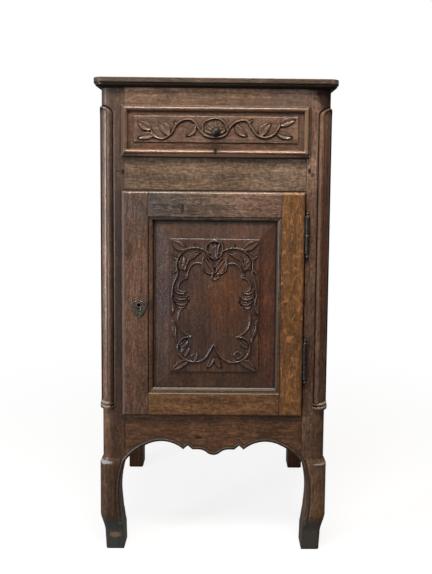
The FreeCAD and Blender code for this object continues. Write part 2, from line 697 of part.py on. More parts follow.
def drawer_tails(by=0.0):
    """Dovetails of the right-hand side, widening towards the drawer front."""
    low = BOTTOM_HIGH + DRAWER_BOTTOM / 2
    pitch = (SIDE_HIGH - low) / TAILS
    tip = DRAWER_INNER - TAIL_LONG
    tails = []
    for index in range(TAILS):
        z0 = low + index * pitch + TAIL_SLOPE
        z1 = z0 + pitch - 3 * TAIL_SLOPE
        corners = [(DRAWER_INNER, z0 - by), (tip - by, z0 - TAIL_SLOPE - by),
                   (tip - by, z1 + TAIL_SLOPE + by), (DRAWER_INNER, z1 + by)]
        inside = DRAWER_BODY - DRAWER_SIDE - by
        loop = [V(inside, y, z) for y, z in corners + corners[:1]]
        tails.append(Part.Face(Part.makePolygon(loop)).extrude(V(DRAWER_SIDE + 2 * by, 0, 0)))
    return tails


def bottom_board(by=0.0):
    reach = DRAWER_BODY - DRAWER_SIDE + BOTTOM_IN
    y0 = DRAWER_INNER - BOTTOM_IN
    return grown(-reach, reach, y0, DRAWER_LONG, BOTTOM_LOW, BOTTOM_HIGH, by)


def drawer_front():
    slab_face = -RUN - DRAWER_SLAB
    lip = box(-DRAWER_OUT, DRAWER_OUT, slab_face, -RUN, DRAWER_LIP_LOW, DRAWER_LIP_HIGH)
    low = RAIL_HIGH + OPENING_GAP
    high = DRAWER_HIGH - OPENING_GAP
    inner = box(-DRAWER_BODY, DRAWER_BODY, -RUN, DRAWER_INNER, low, high)
    end = RING_STEP + RING_WIDE
    crown = (RING_STEP + RING_WIDE / 2, slab_face - RING_HIGH)
    torus = [[(RING_STEP, slab_face), crown, (end, slab_face)], [(end, slab_face), (RING_STEP, slab_face)]]
    ring = mitred_frame(-DRAWER_OUT, DRAWER_OUT, DRAWER_LIP_LOW, DRAWER_LIP_HIGH, torus, end)
    x1 = DRAWER_OUT - FIELD_IN_SIDE
    z0 = DRAWER_LIP_LOW + FIELD_IN_FOOT
    z1 = DRAWER_LIP_HIGH - FIELD_IN_TOP
    small = FIELD_BEVEL
    face = (-x1 + small, x1 - small, z0 + small, z1 - small)
    field = frustum(face, slab_face - FIELD_HIGH, (-x1, x1, z0, z1), slab_face)
    return joined(lip, inner, field, *ring)


def drawer_knob():
    """Knob along Y: nut, stem through the drawer front, back plate, neck and round head."""
    plate_back = -RUN - DRAWER_SLAB - FIELD_HIGH
    plate_face = plate_back - KNOB_PLATE_THICK
    head_back = -KNOB_REACH + KNOB_HEAD
    nut_end = DRAWER_INNER + KNOB_NUT_THICK
    widest = -KNOB_REACH + KNOB_DOME
    outline = [
        (0, nut_end), (KNOB_NUT, nut_end), (KNOB_NUT, DRAWER_INNER), (KNOB_STEM, DRAWER_INNER),
        (KNOB_STEM, plate_back), (KNOB_PLATE, plate_back), (KNOB_PLATE, plate_face),
        (KNOB_NECK, plate_face), (KNOB_NECK, head_back), (KNOB_RADIUS, widest),
    ]
    for cut in range(1, KNOB_CUTS):
        turn = math.pi / 2 * cut / KNOB_CUTS
        outline.append((KNOB_RADIUS * math.cos(turn), widest - KNOB_DOME * math.sin(turn)))
    outline.append((0, -KNOB_REACH))
    knob = filed([(radius, -y) for radius, y in outline], KNOB_SIDES)
    knob.rotate(V(0, 0, 0), V(1, 0, 0), 90)
    knob.translate(V(0, 0, KNOB_Z))
    return knob


def make_drawer():
    tails = drawer_tails()
    inside = DRAWER_BODY - DRAWER_SIDE
    side = box(inside, DRAWER_BODY, DRAWER_INNER, DRAWER_LONG, SIDE_LOW, SIDE_HIGH)
    side = joined(side, *tails).cut(bottom_board(FIT))
    sockets = drawer_tails(FIT)
    stem = cylinder_y(KNOB_STEM + FIT, 0, -DRAWER_SLAB - FIELD_HIGH - SPARE, DRAWER_INNER + SPARE, KNOB_Z)
    front = drawer_front().cut(sockets + [mirrored(s) for s in sockets])
    keep("drawer_front", front.cut([bottom_board(FIT), stem]))
    keep("drawer_side_right", side)
    keep("drawer_side_left", mirrored(side))
    keep("drawer_bottom", bottom_board())
    back_y = DRAWER_LONG - DRAWER_SIDE
    keep("drawer_back", box(-inside, inside, back_y, DRAWER_LONG, BOTTOM_HIGH, SIDE_HIGH))
    keep("drawer_knob", drawer_knob())


# Door: two stiles, two rails with stuck mouldings, and a raised panel in grooves.
DOOR_LEFT = -INNER - SIDE_LIP
DOOR_RIGHT = INNER - HINGE_GAP
DOOR_LOW = APRON_TOP - LIP
DOOR_HIGH = RAIL_LOW + LIP
STILE_LEFT = DOOR_LEFT + LOCK_STILE
STILE_RIGHT = DOOR_RIGHT - HINGE_STILE
RAIL_FOOT = DOOR_LOW + DOOR_BOTTOM_RAIL
RAIL_HEAD = DOOR_HIGH - DOOR_TOP_RAIL
SIGHT_LEFT = STILE_LEFT + DOOR_MOULD
SIGHT_RIGHT = STILE_RIGHT - DOOR_MOULD
SIGHT_LOW = RAIL_FOOT + DOOR_MOULD
SIGHT_HIGH = RAIL_HEAD - DOOR_MOULD


def door_moulding():
    """Stuck moulding round the panel: a small step, then an ovolo falling to the panel."""
    face = -DOOR_FRONT
    step = face + FIELD_STEP
    low = face + DOOR_MOULD_FALL
    path = [
        [(0, DOOR_BACK), (0, step)],
        [(0, step), (DOOR_MOULD_BEND, step + FIELD_STEP), (DOOR_MOULD, low)],
        [(DOOR_MOULD, low), (DOOR_MOULD, DOOR_BACK)],
        [(DOOR_MOULD, DOOR_BACK), (0, DOOR_BACK)],
    ]
    return mitred_frame(STILE_LEFT, STILE_RIGHT, RAIL_FOOT, RAIL_HEAD, path, DOOR_MOULD)


def door_edge_cutters():
    """Rounding of the outer front edges, and the rebates behind the lips."""
    face = -DOOR_FRONT
    bend = DOOR_ROUND * (1 - math.sqrt(0.5))
    corner = [
        [(0, face + DOOR_ROUND), (bend, face + bend), (DOOR_ROUND, face)],
        [(DOOR_ROUND, face), (DOOR_ROUND, face - SPARE)],
        [(DOOR_ROUND, face - SPARE), (-SPARE, face - SPARE)],
        [(-SPARE, face - SPARE), (-SPARE, face + DOOR_ROUND)],
        [(-SPARE, face + DOOR_ROUND), (0, face + DOOR_ROUND)],
    ]
    cutters = mitred_frame(DOOR_LEFT, DOOR_RIGHT, DOOR_LOW, DOOR_HIGH, corner, DOOR_ROUND, SPARE)
    behind = box(DOOR_LEFT - SPARE, DOOR_RIGHT + SPARE, -RUN, DOOR_BACK + SPARE,
                 DOOR_LOW - SPARE, DOOR_HIGH + SPARE)
    kept = box(-INNER + OPENING_GAP, DOOR_RIGHT + SPARE, -RUN, DOOR_BACK + SPARE,
               APRON_TOP + OPENING_GAP, RAIL_LOW - OPENING_GAP)
    return cutters + [behind.cut(kept)]


def door_panel(by=0.0):
    """Panel of the door: tongue in the grooves, four bevels and a raised field."""
    deep = GROOVE_DEEP
    tongue = grown(SIGHT_LEFT - deep, SIGHT_RIGHT + deep, GROOVE_FRONT, GROOVE_FRONT + GROOVE_THICK,
                   SIGHT_LOW - deep, SIGHT_HIGH + deep, by)
    if by:
        return tongue
    margin = FIELD_MARGIN
    sight = (SIGHT_LEFT, SIGHT_RIGHT, SIGHT_LOW, SIGHT_HIGH)
    field = (SIGHT_LEFT + margin, SIGHT_RIGHT - margin, SIGHT_LOW + margin, SIGHT_HIGH - margin)
    top = GROOVE_FRONT - FIELD_PROUD
    slopes = frustum(field, top + FIELD_STEP, sight, GROOVE_FRONT)
    raised = box(field[0], field[1], top, top + FIELD_STEP, field[2], field[3])
    return joined(tongue, slopes, raised)


def door_tenons(z0, z1, by=0.0):
    """Tenons of a door rail in both stiles, in line with the panel groove."""
    y0 = GROOVE_FRONT
    low = z0 + TENON_SHOULDER
    high = z1 - TENON_SHOULDER
    left = grown(STILE_LEFT - DOOR_TENON, STILE_LEFT + by, y0, y0 + GROOVE_THICK, low, high, by)
    right = grown(STILE_RIGHT - by, STILE_RIGHT + DOOR_TENON, y0, y0 + GROOVE_THICK, low, high, by)
    return [left, right]


DOOR_RAILS = {"door_top_rail": (RAIL_HEAD, DOOR_HIGH), "door_bottom_rail": (DOOR_LOW, RAIL_FOOT)}


def door_pegs(by=0.0):
    pegs = []
    for z0, z1 in DOOR_RAILS.values():
        for x in (STILE_LEFT - DOOR_TENON / 2, STILE_RIGHT + DOOR_TENON / 2):
            middle = (z0 + z1) / 2
            pegs.append(peg(x, -DOOR_FRONT - PEG_PROUD, DOOR_BACK, middle, by))
    return pegs


def keyhole(y0, y1):
    """Round hole with a slot below, for the key."""
    x = DOOR_LEFT + KEY_FROM_EDGE
    slot = box(x - KEY_SLOT / 2, x + KEY_SLOT / 2, y0, y1, KEY_HIGH - KEY_DROP, KEY_HIGH)
    return cylinder_y(KEY_ROUND, x, y0, y1, KEY_HIGH).fuse(slot)


def make_door():
    face = -DOOR_FRONT
    left_mould, right_mould, foot_mould, head_mould = door_moulding()
    members = {
        "door_lock_stile": (box(DOOR_LEFT, STILE_LEFT, face, DOOR_BACK, DOOR_LOW, DOOR_HIGH), left_mould),
        "door_hinge_stile": (box(STILE_RIGHT, DOOR_RIGHT, face, DOOR_BACK, DOOR_LOW, DOOR_HIGH), right_mould),
        "door_bottom_rail": (box(STILE_LEFT, STILE_RIGHT, face, DOOR_BACK, DOOR_LOW, RAIL_FOOT), foot_mould),
        "door_top_rail": (box(STILE_LEFT, STILE_RIGHT, face, DOOR_BACK, RAIL_HEAD, DOOR_HIGH), head_mould),
    }
    trims = door_edge_cutters() + [door_panel(FIT)]
    for name, (board, mould) in members.items():
        member = joined(board, mould).cut(trims)
        if name in DOOR_RAILS:
            member = joined(member, *door_tenons(*DOOR_RAILS[name]))
        else:
            mortises = []
            for z0, z1 in DOOR_RAILS.values():
                mortises += door_tenons(z0, z1, FIT)
            member = member.cut(mortises)
        member = member.cut(door_pegs(FIT))
        if name == "door_lock_stile":
            member = member.cut(keyhole(face, DOOR_BACK))
        if name == "door_hinge_stile":
            member = member.cut([door_leaf(middle, FIT) for middle in hinge_heights()])
        keep(name, member)
    keep("door_panel", door_panel())
    keep("door_pegs", Part.makeCompound(door_pegs()))


# Hinges: the fixed half holds the pin, and the moving half turns on it.
AXIS_X = INNER + AXIS_OUT
AXIS_Y = -AXIS_FRONT


def hinge_heights():
    return [APRON_TOP + LOWER_HINGE, RAIL_LOW - UPPER_HINGE]


def frame_leaf(middle, by=0.0):
    low = middle - BARREL_LONG / 2
    return grown(AXIS_X - LEAF_THICK / 2, AXIS_X + LEAF_THICK / 2, AXIS_Y, LEAF_DEEP,
                 low, middle - BARREL_GAP / 2, by)


def door_leaf(middle, by=0.0):
    high = middle + BARREL_LONG / 2
    return grown(AXIS_X - LEAF_DEEP, AXIS_X, AXIS_Y - LEAF_THICK / 2, AXIS_Y + LEAF_THICK / 2,
                 middle + BARREL_GAP / 2, high, by)


def finial():
    """Small filed vase, from its foot on the barrel to its tip."""
    outline = [
        (0, 0), (BARREL_RADIUS, 0), (FINIAL_NECK, FINIAL_NECK_AT), (FINIAL_BELLY, FINIAL_BELLY_AT),
        (FINIAL_BUTTON, FINIAL_BUTTON_AT), (FINIAL_BUTTON / 2, FINIAL_LONG), (0, FINIAL_LONG),
    ]
    return filed(outline, FINIAL_SIDES)


def make_hinges():
    half = (BARREL_LONG - BARREL_GAP) / 2
    for name, middle in zip(("lower", "upper"), hinge_heights()):
        low = middle - BARREL_LONG / 2
        high = middle + BARREL_LONG / 2
        axis = V(AXIS_X, AXIS_Y, 0)
        foot = finial().mirror(V(0, 0, 0), V(0, 0, 1))
        foot.translate(axis + V(0, 0, low))
        head = finial()
        head.translate(axis + V(0, 0, high))
        fixed = Part.makeCylinder(BARREL_RADIUS, half, axis + V(0, 0, low))
        pin = Part.makeCylinder(PIN_RADIUS, half + PIN_UP, axis + V(0, 0, low))
        bore = Part.makeCylinder(PIN_RADIUS + PIN_RUN, PIN_UP + PIN_RADIUS, axis + V(0, 0, high - half))
        moving = Part.makeCylinder(BARREL_RADIUS, half, axis + V(0, 0, high - half))
        keep("hinge_" + name + "_frame_leaf", joined(fixed, pin, foot, frame_leaf(middle)))
        keep("hinge_" + name + "_door_leaf", joined(moving, head, door_leaf(middle)).cut(bore))


# Lock behind the lock stile, its bolt, and the key plate in front.
LOCK_LEFT = -INNER + OPENING_GAP + FIT
LOCK_LOW = KEY_HIGH - LOCK_HIGH / 2
BOLT_Y = DOOR_BACK + (LOCK_DEEP - BOLT_THICK) / 2


def bolt_box(throw=0.0, by=0.0):
    """Space of the bolt, from its tip pushed out by the throw."""
    return grown(LOCK_LEFT - throw, LOCK_LEFT + BOLT_LONG, BOLT_Y, BOLT_Y + BOLT_THICK,
                 KEY_HIGH - BOLT_HIGH / 2, KEY_HIGH + BOLT_HIGH / 2, by)


def make_lock():
    case = box(LOCK_LEFT, LOCK_LEFT + LOCK_LONG, DOOR_BACK, DOOR_BACK + LOCK_DEEP, LOCK_LOW, LOCK_LOW + LOCK_HIGH)
    wall = LOCK_WALL
    room = box(LOCK_LEFT + wall, LOCK_LEFT + LOCK_LONG - wall, DOOR_BACK, DOOR_BACK + LOCK_DEEP - wall,
               LOCK_LOW + wall, LOCK_LOW + LOCK_HIGH - wall)
    keep("lock_case", case.cut([room, bolt_box(0.0, RUN)]))
    keep("lock_bolt", bolt_box())


def make_key_plate():
    """Shield plate: two hollows between the top and the shoulders, and a point below."""
    x = DOOR_LEFT + KEY_FROM_EDGE
    head = KEY_HIGH + PLATE_UP
    point = KEY_HIGH - PLATE_DOWN
    shoulder = head - PLATE_SHOULDER
    belly = (shoulder + point) / 2
    dip = head - PLATE_DIP
    path = [
        [(x - PLATE_HALF, shoulder), (x - PLATE_HALF / 2, dip), (x, head)],
        [(x, head), (x + PLATE_HALF / 2, dip), (x + PLATE_HALF, shoulder)],
        [(x + PLATE_HALF, shoulder), (x + PLATE_BELLY, belly), (x, point)],
        [(x, point), (x - PLATE_BELLY, belly), (x - PLATE_HALF, shoulder)],
    ]
    back = -DOOR_FRONT
    plate = face_of(path, lambda px, pz: V(px, back, pz)).extrude(V(0, -PLATE_THICK, 0))
    keep("key_plate", plate.cut(keyhole(back - PLATE_THICK, back)))


def main():
    os.makedirs("parts", exist_ok=True)
    make_top()
    make_front_posts()
    make_rear_posts()
    make_front_rails()
    make_side_rails()
    make_side_panels()
    make_back()
    make_floor()
    make_shelf()
    make_drawer_slides()
    make_frame_pegs()
    make_hinges()
    make_drawer()
    make_door()
    make_lock()
    make_key_plate()
    for name, shape in made.items():
        shape.translate(V(0, FRONT_SHIFT, 0))
        size = shape.BoundBox
        print(name, len(shape.Solids), shape.isValid(), round(shape.Volume),
              [round(v, 1) for v in (size.XMin, size.XMax, size.YMin, size.YMax, size.ZMin, size.ZMax)])
        shape.exportStep("parts/" + name + ".step")


main()
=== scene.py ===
# %% [markdown]
# # An old oak jam cupboard
# A jelly cupboard is a small country cupboard for jam jars: one drawer over one door. The joiner's work,
# boards, posts, joints, drawer, door and lock, is already there as solids. This lesson adds what a carver,
# a smith and two hundred years of wax and dust added: the carving, the beads, the ironwork and the finish.
# Everything is in metres, in the frame of the solids: x to the viewer's right, y to the back, z up. Places
# on the cupboard are written in millimetres and multiplied by MM.

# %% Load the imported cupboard
import math
import bpy
import numpy as np
from mathutils import Matrix, Vector


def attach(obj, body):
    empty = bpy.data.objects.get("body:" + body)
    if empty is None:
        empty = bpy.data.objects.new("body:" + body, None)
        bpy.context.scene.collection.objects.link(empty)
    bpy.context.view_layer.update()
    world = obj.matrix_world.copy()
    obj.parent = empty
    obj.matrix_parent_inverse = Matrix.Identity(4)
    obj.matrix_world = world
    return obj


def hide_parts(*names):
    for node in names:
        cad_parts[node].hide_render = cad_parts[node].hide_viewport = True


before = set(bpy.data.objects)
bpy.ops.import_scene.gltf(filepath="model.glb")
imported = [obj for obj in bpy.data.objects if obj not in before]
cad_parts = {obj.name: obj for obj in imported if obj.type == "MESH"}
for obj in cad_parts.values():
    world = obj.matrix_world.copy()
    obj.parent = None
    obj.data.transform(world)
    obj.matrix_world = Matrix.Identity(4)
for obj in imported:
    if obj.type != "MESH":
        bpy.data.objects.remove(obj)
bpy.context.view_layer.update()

MM = 0.001

# %% [markdown]
# ## Camera
# The picture was taken from standing height, almost straight on, with the picture's middle moved down
# so that upright lines stay nearly upright. A shifted lens does the same here: the camera looks only a
# little down, and the shift brings the feet into the frame.

# %% Set up the camera
PICTURE_WIDE = 432
PICTURE_HIGH = 574
CAMERA_PLACE = Vector((0.0213, -1.4696, 0.8907))
YAW = math.radians(-0.424)
PITCH = math.radians(3.852)
ROLL = math.radians(0.573)
FOCAL_PIXELS = 553.4
AXIS_PIXEL = (228.6, 217.7)
SENSOR = 36.0

level_right = Vector((math.cos(YAW), math.sin(YAW), 0))
level_up = Vector((-math.sin(YAW) * math.sin(PITCH), math.cos(YAW) * math.sin(PITCH), math.cos(PITCH)))
forward = Vector((-math.sin(YAW) * math.cos(PITCH), math.cos(YAW) * math.cos(PITCH), -math.sin(PITCH)))
camera_right = level_right * math.cos(ROLL) + level_up * math.sin(ROLL)
camera_up = level_up * math.cos(ROLL) - level_right * math.sin(ROLL)
turn = Matrix((camera_right, camera_up, -forward)).transposed()

bpy.ops.object.select_all(action="DESELECT")
bpy.ops.object.camera_add(location=CAMERA_PLACE)
camera = bpy.context.object
camera.name = "viewer"
camera.matrix_world = Matrix.Translation(CAMERA_PLACE) @ turn.to_4x4()
camera.data.sensor_width = SENSOR
camera.data.lens = FOCAL_PIXELS * SENSOR / PICTURE_HIGH
camera.data.shift_x = (PICTURE_WIDE / 2 - AXIS_PIXEL[0]) / PICTURE_HIGH
camera.data.shift_y = (AXIS_PIXEL[1] - PICTURE_HIGH / 2) / PICTURE_HIGH
camera.data.dof.use_dof = False
bpy.context.scene.camera = camera
bpy.context.scene.view_settings.view_transform = "Standard"
print("lens:", round(camera.data.lens, 2))
print("shift:", round(camera.data.shift_x, 4), round(camera.data.shift_y, 4))

# %% [markdown]
# ## Node helper
# Every finish below is a network of nodes. Adding a node, setting its sockets and linking it takes three
# lines each time, so a small workbench class does it in one. A socket given as a value is set, and a
# socket given as another node's output is linked.

# %% Define the finish workbench
WAX_TINT = (1.0, 0.88, 0.76, 1)
COAT_ROUGH = 0.13


class Finish:
    """One material, or the room's background, and the tools to wire it."""

    def __init__(self, owner):
        self.owner = owner
        owner.use_nodes = True
        self.tree = owner.node_tree
        self.tree.nodes.clear()

    def add(self, kind, sockets, **settings):
        node = self.tree.nodes.new(kind)
        for key, value in settings.items():
            setattr(node, key, value)
        for key, value in sockets.items():
            if isinstance(value, bpy.types.NodeSocket):
                self.tree.links.new(value, node.inputs[key])
            else:
                node.inputs[key].default_value = value
        return node

    def sums(self, how, first, second=0.0):
        return self.add("ShaderNodeMath", {0: first, 1: second}, operation=how).outputs[0]

    def total(self, start, *parts):
        """Start plus every value times its weight."""
        for value, weight in parts:
            sockets = {0: value, 1: weight, 2: start}
            start = self.add("ShaderNodeMath", sockets, operation="MULTIPLY_ADD").outputs[0]
        return start

    def vectors(self, how, first, second=(0, 0, 0), result=0):
        return self.add("ShaderNodeVectorMath", {0: first, 1: second}, operation=how).outputs[result]

    def span(self, value, low, high, start=0.0, end=1.0):
        """Stretch a value from one span to another, held at both ends."""
        sockets = {"Value": value, "From Min": low, "From Max": high, "To Min": start, "To Max": end}
        return self.add("ShaderNodeMapRange", sockets).outputs[0]

    def mix(self, share, first, second, how="MIX"):
        sockets = {0: share, 6: first, 7: second}
        return self.add("ShaderNodeMix", sockets, data_type="RGBA", blend_type=how).outputs[2]

    def noise(self, place, scale, detail=2.0, rough=0.5, swirl=0.0):
        sockets = {"Vector": place, "Scale": scale, "Detail": detail, "Roughness": rough,
                   "Distortion": swirl}
        return self.add("ShaderNodeTexNoise", sockets).outputs[0]

    def ramp(self, value, stops):
        """Colours at places between 0 and 1, blended from one to the next."""
        node = self.add("ShaderNodeValToRGB", {"Fac": value})
        ends = zip(node.color_ramp.elements, (stops[0], stops[-1]))
        for element, (place, colour) in ends:
            element.position = place
            element.color = (*colour, 1)
        for place, colour in stops[1:-1]:
            node.color_ramp.elements.new(place).color = (*colour, 1)
        return node.outputs[0]

    def places(self):
        return self.add("ShaderNodeTexCoord", {}).outputs["Object"]

    def apart(self, vector):
        """The x, y and z of a vector."""
        return self.add("ShaderNodeSeparateXYZ", {"Vector": vector}).outputs

    def stretched(self, place, scale=(1, 1, 1), shift=(0, 0, 0), turn=(0, 0, 0)):
        sockets = {"Vector": place, "Location": shift, "Rotation": turn, "Scale": scale}
        return self.add("ShaderNodeMapping", sockets).outputs[0]

    def close(self, colour, rough, height, deep, soft_normal, shine=0.5, metal=0.0, coat=0.0,
              wax=WAX_TINT):
        """Wire colour, roughness and height to the surface. Deep is the height of the bumps."""
        sockets = {"Strength": 1.0, "Distance": deep, "Height": height, "Normal": soft_normal}
        bump = self.add("ShaderNodeBump", sockets).outputs[0]
        sockets = {"Base Color": colour, "Roughness": rough, "Normal": bump, "Metallic": metal,
                   "Specular IOR Level": shine, "Specular Tint": wax, "Coat Weight": coat,
                   "Coat Roughness": COAT_ROUGH}
        shader = self.add("ShaderNodeBsdfPrincipled", sockets)
        self.add("ShaderNodeOutputMaterial", {"Surface": shader.outputs[0]})
        return self.owner


print("workbench ready")

# %% [markdown]
# ## Room and light
# A broad lamp overhead does most of the work: it draws the bright lines along every edge that faces up and
# leaves the hollows dark. A cool lamp on the left and a weak warm one on the right fill the sides, and a
# lamp behind the cupboard keeps its back from going black. Each lamp is a panel that is added at its place
# and turned until it looks at the cupboard.

# %% Light the room
WINDOW_COLOUR = (0.82, 0.91, 1.0)
ROOM_COLOUR = (1.0, 0.86, 0.70)
CEILING_COLOUR = (1.0, 0.92, 0.82)


def add_lamp(name, place, aim, wide, high, watts, colour):
    bpy.ops.object.light_add(type="AREA", location=place)
    lamp = bpy.context.object
    lamp.name = name
    lamp.rotation_euler = (Vector(aim) - Vector(place)).to_track_quat("-Z", "Y").to_euler()
    lamp.data.shape = "RECTANGLE"
    lamp.data.size = wide
    lamp.data.size_y = high
    lamp.data.energy = watts
    lamp.data.color = colour


add_lamp("ceiling_lamp", (0.0, -1.15, 2.45), (0, -0.3, 0.6), 1.5, 0.5, 66, CEILING_COLOUR)
add_lamp("window_lamp", (-1.9, -1.30, 0.7), (0, -0.1, 0.65), 0.4, 1.3, 42, WINDOW_COLOUR)
add_lamp("room_lamp", (2.0, -1.9, 1.4), (0, -0.1, 0.6), 1.0, 1.0, 8, ROOM_COLOUR)
add_lamp("rear_lamp", (0.0, 2.2, 1.0), (0, 0.2, 0.6), 1.0, 1.2, 14, CEILING_COLOUR)

# %% [markdown]
# The white backdrop is the world itself, and a Light Path node tells who looks at it. The camera sees it
# plain white. Waxed wood mirrors it too, but only what lies behind the cupboard and much dimmer, because
# a white room all round would turn the dark fronts grey. For every other ray the room is dim.

# %% Hang the white backdrop
AMBIENT = (0.96, 0.98, 1.0, 1)
AMBIENT_LEVEL = 0.24
MIRRORED_WHITE = 0.15
BACKDROP_STARTS = -0.15
BACKDROP_FULL = 0.35

room = bpy.data.worlds.new("white_backdrop")
bpy.context.scene.world = room
sky = Finish(room)
rays = sky.add("ShaderNodeLightPath", {}).outputs
direction = sky.add("ShaderNodeTexCoord", {}).outputs["Generated"]
behind = sky.span(sky.apart(direction)["Y"], BACKDROP_STARTS, BACKDROP_FULL, 0.0, MIRRORED_WHITE)
mirrored = sky.sums("MULTIPLY", rays["Is Glossy Ray"], behind)
seen = sky.sums("MAXIMUM", rays["Is Camera Ray"], rays["Is Transmission Ray"])
seen = sky.sums("MAXIMUM", seen, mirrored)
white = sky.add("ShaderNodeBackground", {"Color": (1, 1, 1, 1)}).outputs[0]
dim_room = sky.add("ShaderNodeBackground", {"Color": AMBIENT, "Strength": AMBIENT_LEVEL}).outputs[0]
choice = sky.add("ShaderNodeMixShader", {0: seen, 1: dim_room, 2: white}).outputs[0]
sky.add("ShaderNodeOutputWorld", {"Surface": choice})
print("backdrop hung")

# %% [markdown]
# The floor is a wide pale sheet. Near the cupboard it takes a soft shadow, and further out it turns into
# the same white as the background, so that no horizon shows. It throws much less light back than it shows,
# as a floor in a dim room does, or the waxed fronts would all mirror a white sheet.

# %% Lay the floor
FLOOR_SIZE = 14.0
SHADOW_NEAR = 0.55
SHADOW_FAR = 1.5
SHADOW_LIFT = 0.84
FLOOR_BOUNCE = 0.3
FLOOR_GLOW = 0.12
PAPER_GRAIN = (60.0, 3.0)
PAPER_WHITES = (0.93, 0.97)

bpy.ops.object.select_all(action="DESELECT")
bpy.ops.mesh.primitive_plane_add(size=FLOOR_SIZE, location=(0, 0, 0))
floor = bpy.context.object
floor.name = "floor"
paper = Finish(bpy.data.materials.new("pale_floor"))
spot = paper.places()
far = paper.span(paper.vectors("LENGTH", spot, result="Value"), SHADOW_NEAR, SHADOW_FAR, SHADOW_LIFT, 1.0)
looked_at = paper.add("ShaderNodeLightPath", {}).outputs["Is Camera Ray"]
grain = paper.span(paper.noise(spot, *PAPER_GRAIN), 0.3, 0.7, *PAPER_WHITES)
grain = paper.sums("MULTIPLY", grain, paper.span(looked_at, 0, 1, FLOOR_BOUNCE, 1))
tint = paper.add("ShaderNodeCombineColor", {0: grain, 1: grain, 2: grain}).outputs[0]
matt = paper.add("ShaderNodeBsdfDiffuse", {"Color": tint})
glow = paper.span(looked_at, 0, 1, FLOOR_GLOW, 1)
plain = paper.add("ShaderNodeEmission", {"Color": (1, 1, 1, 1), "Strength": glow})
both = paper.add("ShaderNodeMixShader", {0: far, 1: matt.outputs[0], 2: plain.outputs[0]})
paper.add("ShaderNodeOutputMaterial", {"Surface": both.outputs[0]})
floor.data.materials.append(paper.owner)
print("floor:", FLOOR_SIZE, "m across")

# %% [markdown]
# ## Old waxed oak
# Oak has long pores that fill with dark wax, bands of early and late growth along the board, and blotches
# where hands and sun changed it. A picture of wood would do for one board, but noise that is stretched
# along the grain never repeats and needs no unwrapping. Each board gets its own copy of the finish, with its
# own colour, its own grain direction and its own place in the pattern, because no two boards come from the
# same spot of a tree. A board cut on the quarter also shows pale flecks: faint slanted rays and short,
# broken curls.

# %% Define the bare board
# A pattern is a scale, a detail, a roughness and a swirl. A span says where it starts and where it is full.
BANDS = (45.0, 3.0, 0.6, 1.0)
STREAKS = (240.0, 4.0, 0.72, 0.3)
PORES = (480.0, 2.0, 0.6)
BLOTCHES = (11.0, 4.0, 0.62, 0.4)
SPECKLES = (150.0, 2.0, 0.6)
RAYS = (1.0, 2.0, 0.5, 0.9)
CURLS = (26.0, 2.0, 0.5, 1.5)
BREAKS = (48.0, 1.0)
PORE_SPAN = (0.45, 0.34)
RAY_SPAN = (0.53, 0.62)
CURL_SPAN = (0.030, 0.008)
BREAK_SPAN = (0.44, 0.54)
PORE_SHARE, PORE_TONE = 0.7, 0.28
RAY_SHARE, RAY_TONE = 0.25, 2.0
CURL_SHARE, CURL_TONE = 1.1, 2.2
GRAIN_WEIGHTS = (1.0, 0.6, 0.6, 0.7)
BAND_ALONG = 0.05
GRAIN_ALONG = 0.14
CURL_ALONG = 0.45
RAY_STRETCH = (42, 42, 300)
RAY_SLANT = math.radians(-28)
SEED_STRIDES = (1.37, 0.71, 2.13)
TONES = [(0.24, 0.42), (0.45, 0.86), (0.55, 1.1), (0.76, 1.9)]
AXES = {"x": 0, "y": 1, "z": 2}


def stretch_along(long, amount):
    scale = [1.0, 1.0, 1.0]
    scale[AXES[long]] = amount
    return scale


def shade(colour, amount):
    return tuple(min(1.0, channel * amount) for channel in colour)


def ray_flecks(oak, tint, moved, colour, long, fleck):
    slant = oak.stretched(oak.stretched(moved, turn=(0, RAY_SLANT, 0)), RAY_STRETCH)
    rays = oak.span(oak.noise(slant, *RAYS), *RAY_SPAN)
    tint = oak.mix(oak.sums("MULTIPLY", rays, RAY_SHARE * fleck), tint, (*shade(colour, RAY_TONE), 1))
    curls = oak.noise(oak.stretched(moved, stretch_along(long, CURL_ALONG)), *CURLS)
    curls = oak.span(oak.sums("ABSOLUTE", oak.sums("SUBTRACT", curls, 0.5)), *CURL_SPAN)
    curls = oak.sums("MULTIPLY", curls, oak.span(oak.noise(moved, *BREAKS), *BREAK_SPAN))
    return oak.mix(oak.sums("MULTIPLY", curls, CURL_SHARE * fleck), tint, (*shade(colour, CURL_TONE), 1))


def grain_tint(oak, spot, colour, long, seed, fleck, figure):
    """Colour of the bare board, its place in the pattern, its streaks, its pores and its blotches."""
    moved = oak.stretched(spot, shift=[seed * stride for stride in SEED_STRIDES])
    bands = oak.noise(oak.stretched(moved, stretch_along(long, BAND_ALONG)), *BANDS)
    along = oak.stretched(moved, stretch_along(long, GRAIN_ALONG))
    streaks = oak.noise(along, *STREAKS)
    pores = oak.span(oak.noise(along, *PORES), *PORE_SPAN)
    blotch = oak.noise(moved, *BLOTCHES)
    speckle = oak.noise(moved, *SPECKLES)
    parts = zip((streaks, bands, blotch, speckle), GRAIN_WEIGHTS)
    # Noise lies round one half, so half of all the weights is taken off first.
    middle = 0.5 - sum(GRAIN_WEIGHTS) / 2 * figure
    tone = oak.total(middle, *[(part, weight * figure) for part, weight in parts])
    tint = oak.ramp(tone, [(place, shade(colour, amount)) for place, amount in TONES])
    tint = oak.mix(oak.sums("MULTIPLY", pores, PORE_SHARE * figure), tint, (*shade(colour, PORE_TONE), 1))
    if fleck:
        tint = ray_flecks(oak, tint, moved, colour, long, fleck)
    return tint, moved, streaks, pores, blotch


print("bare board ready, tones:", [amount for place, amount in TONES])

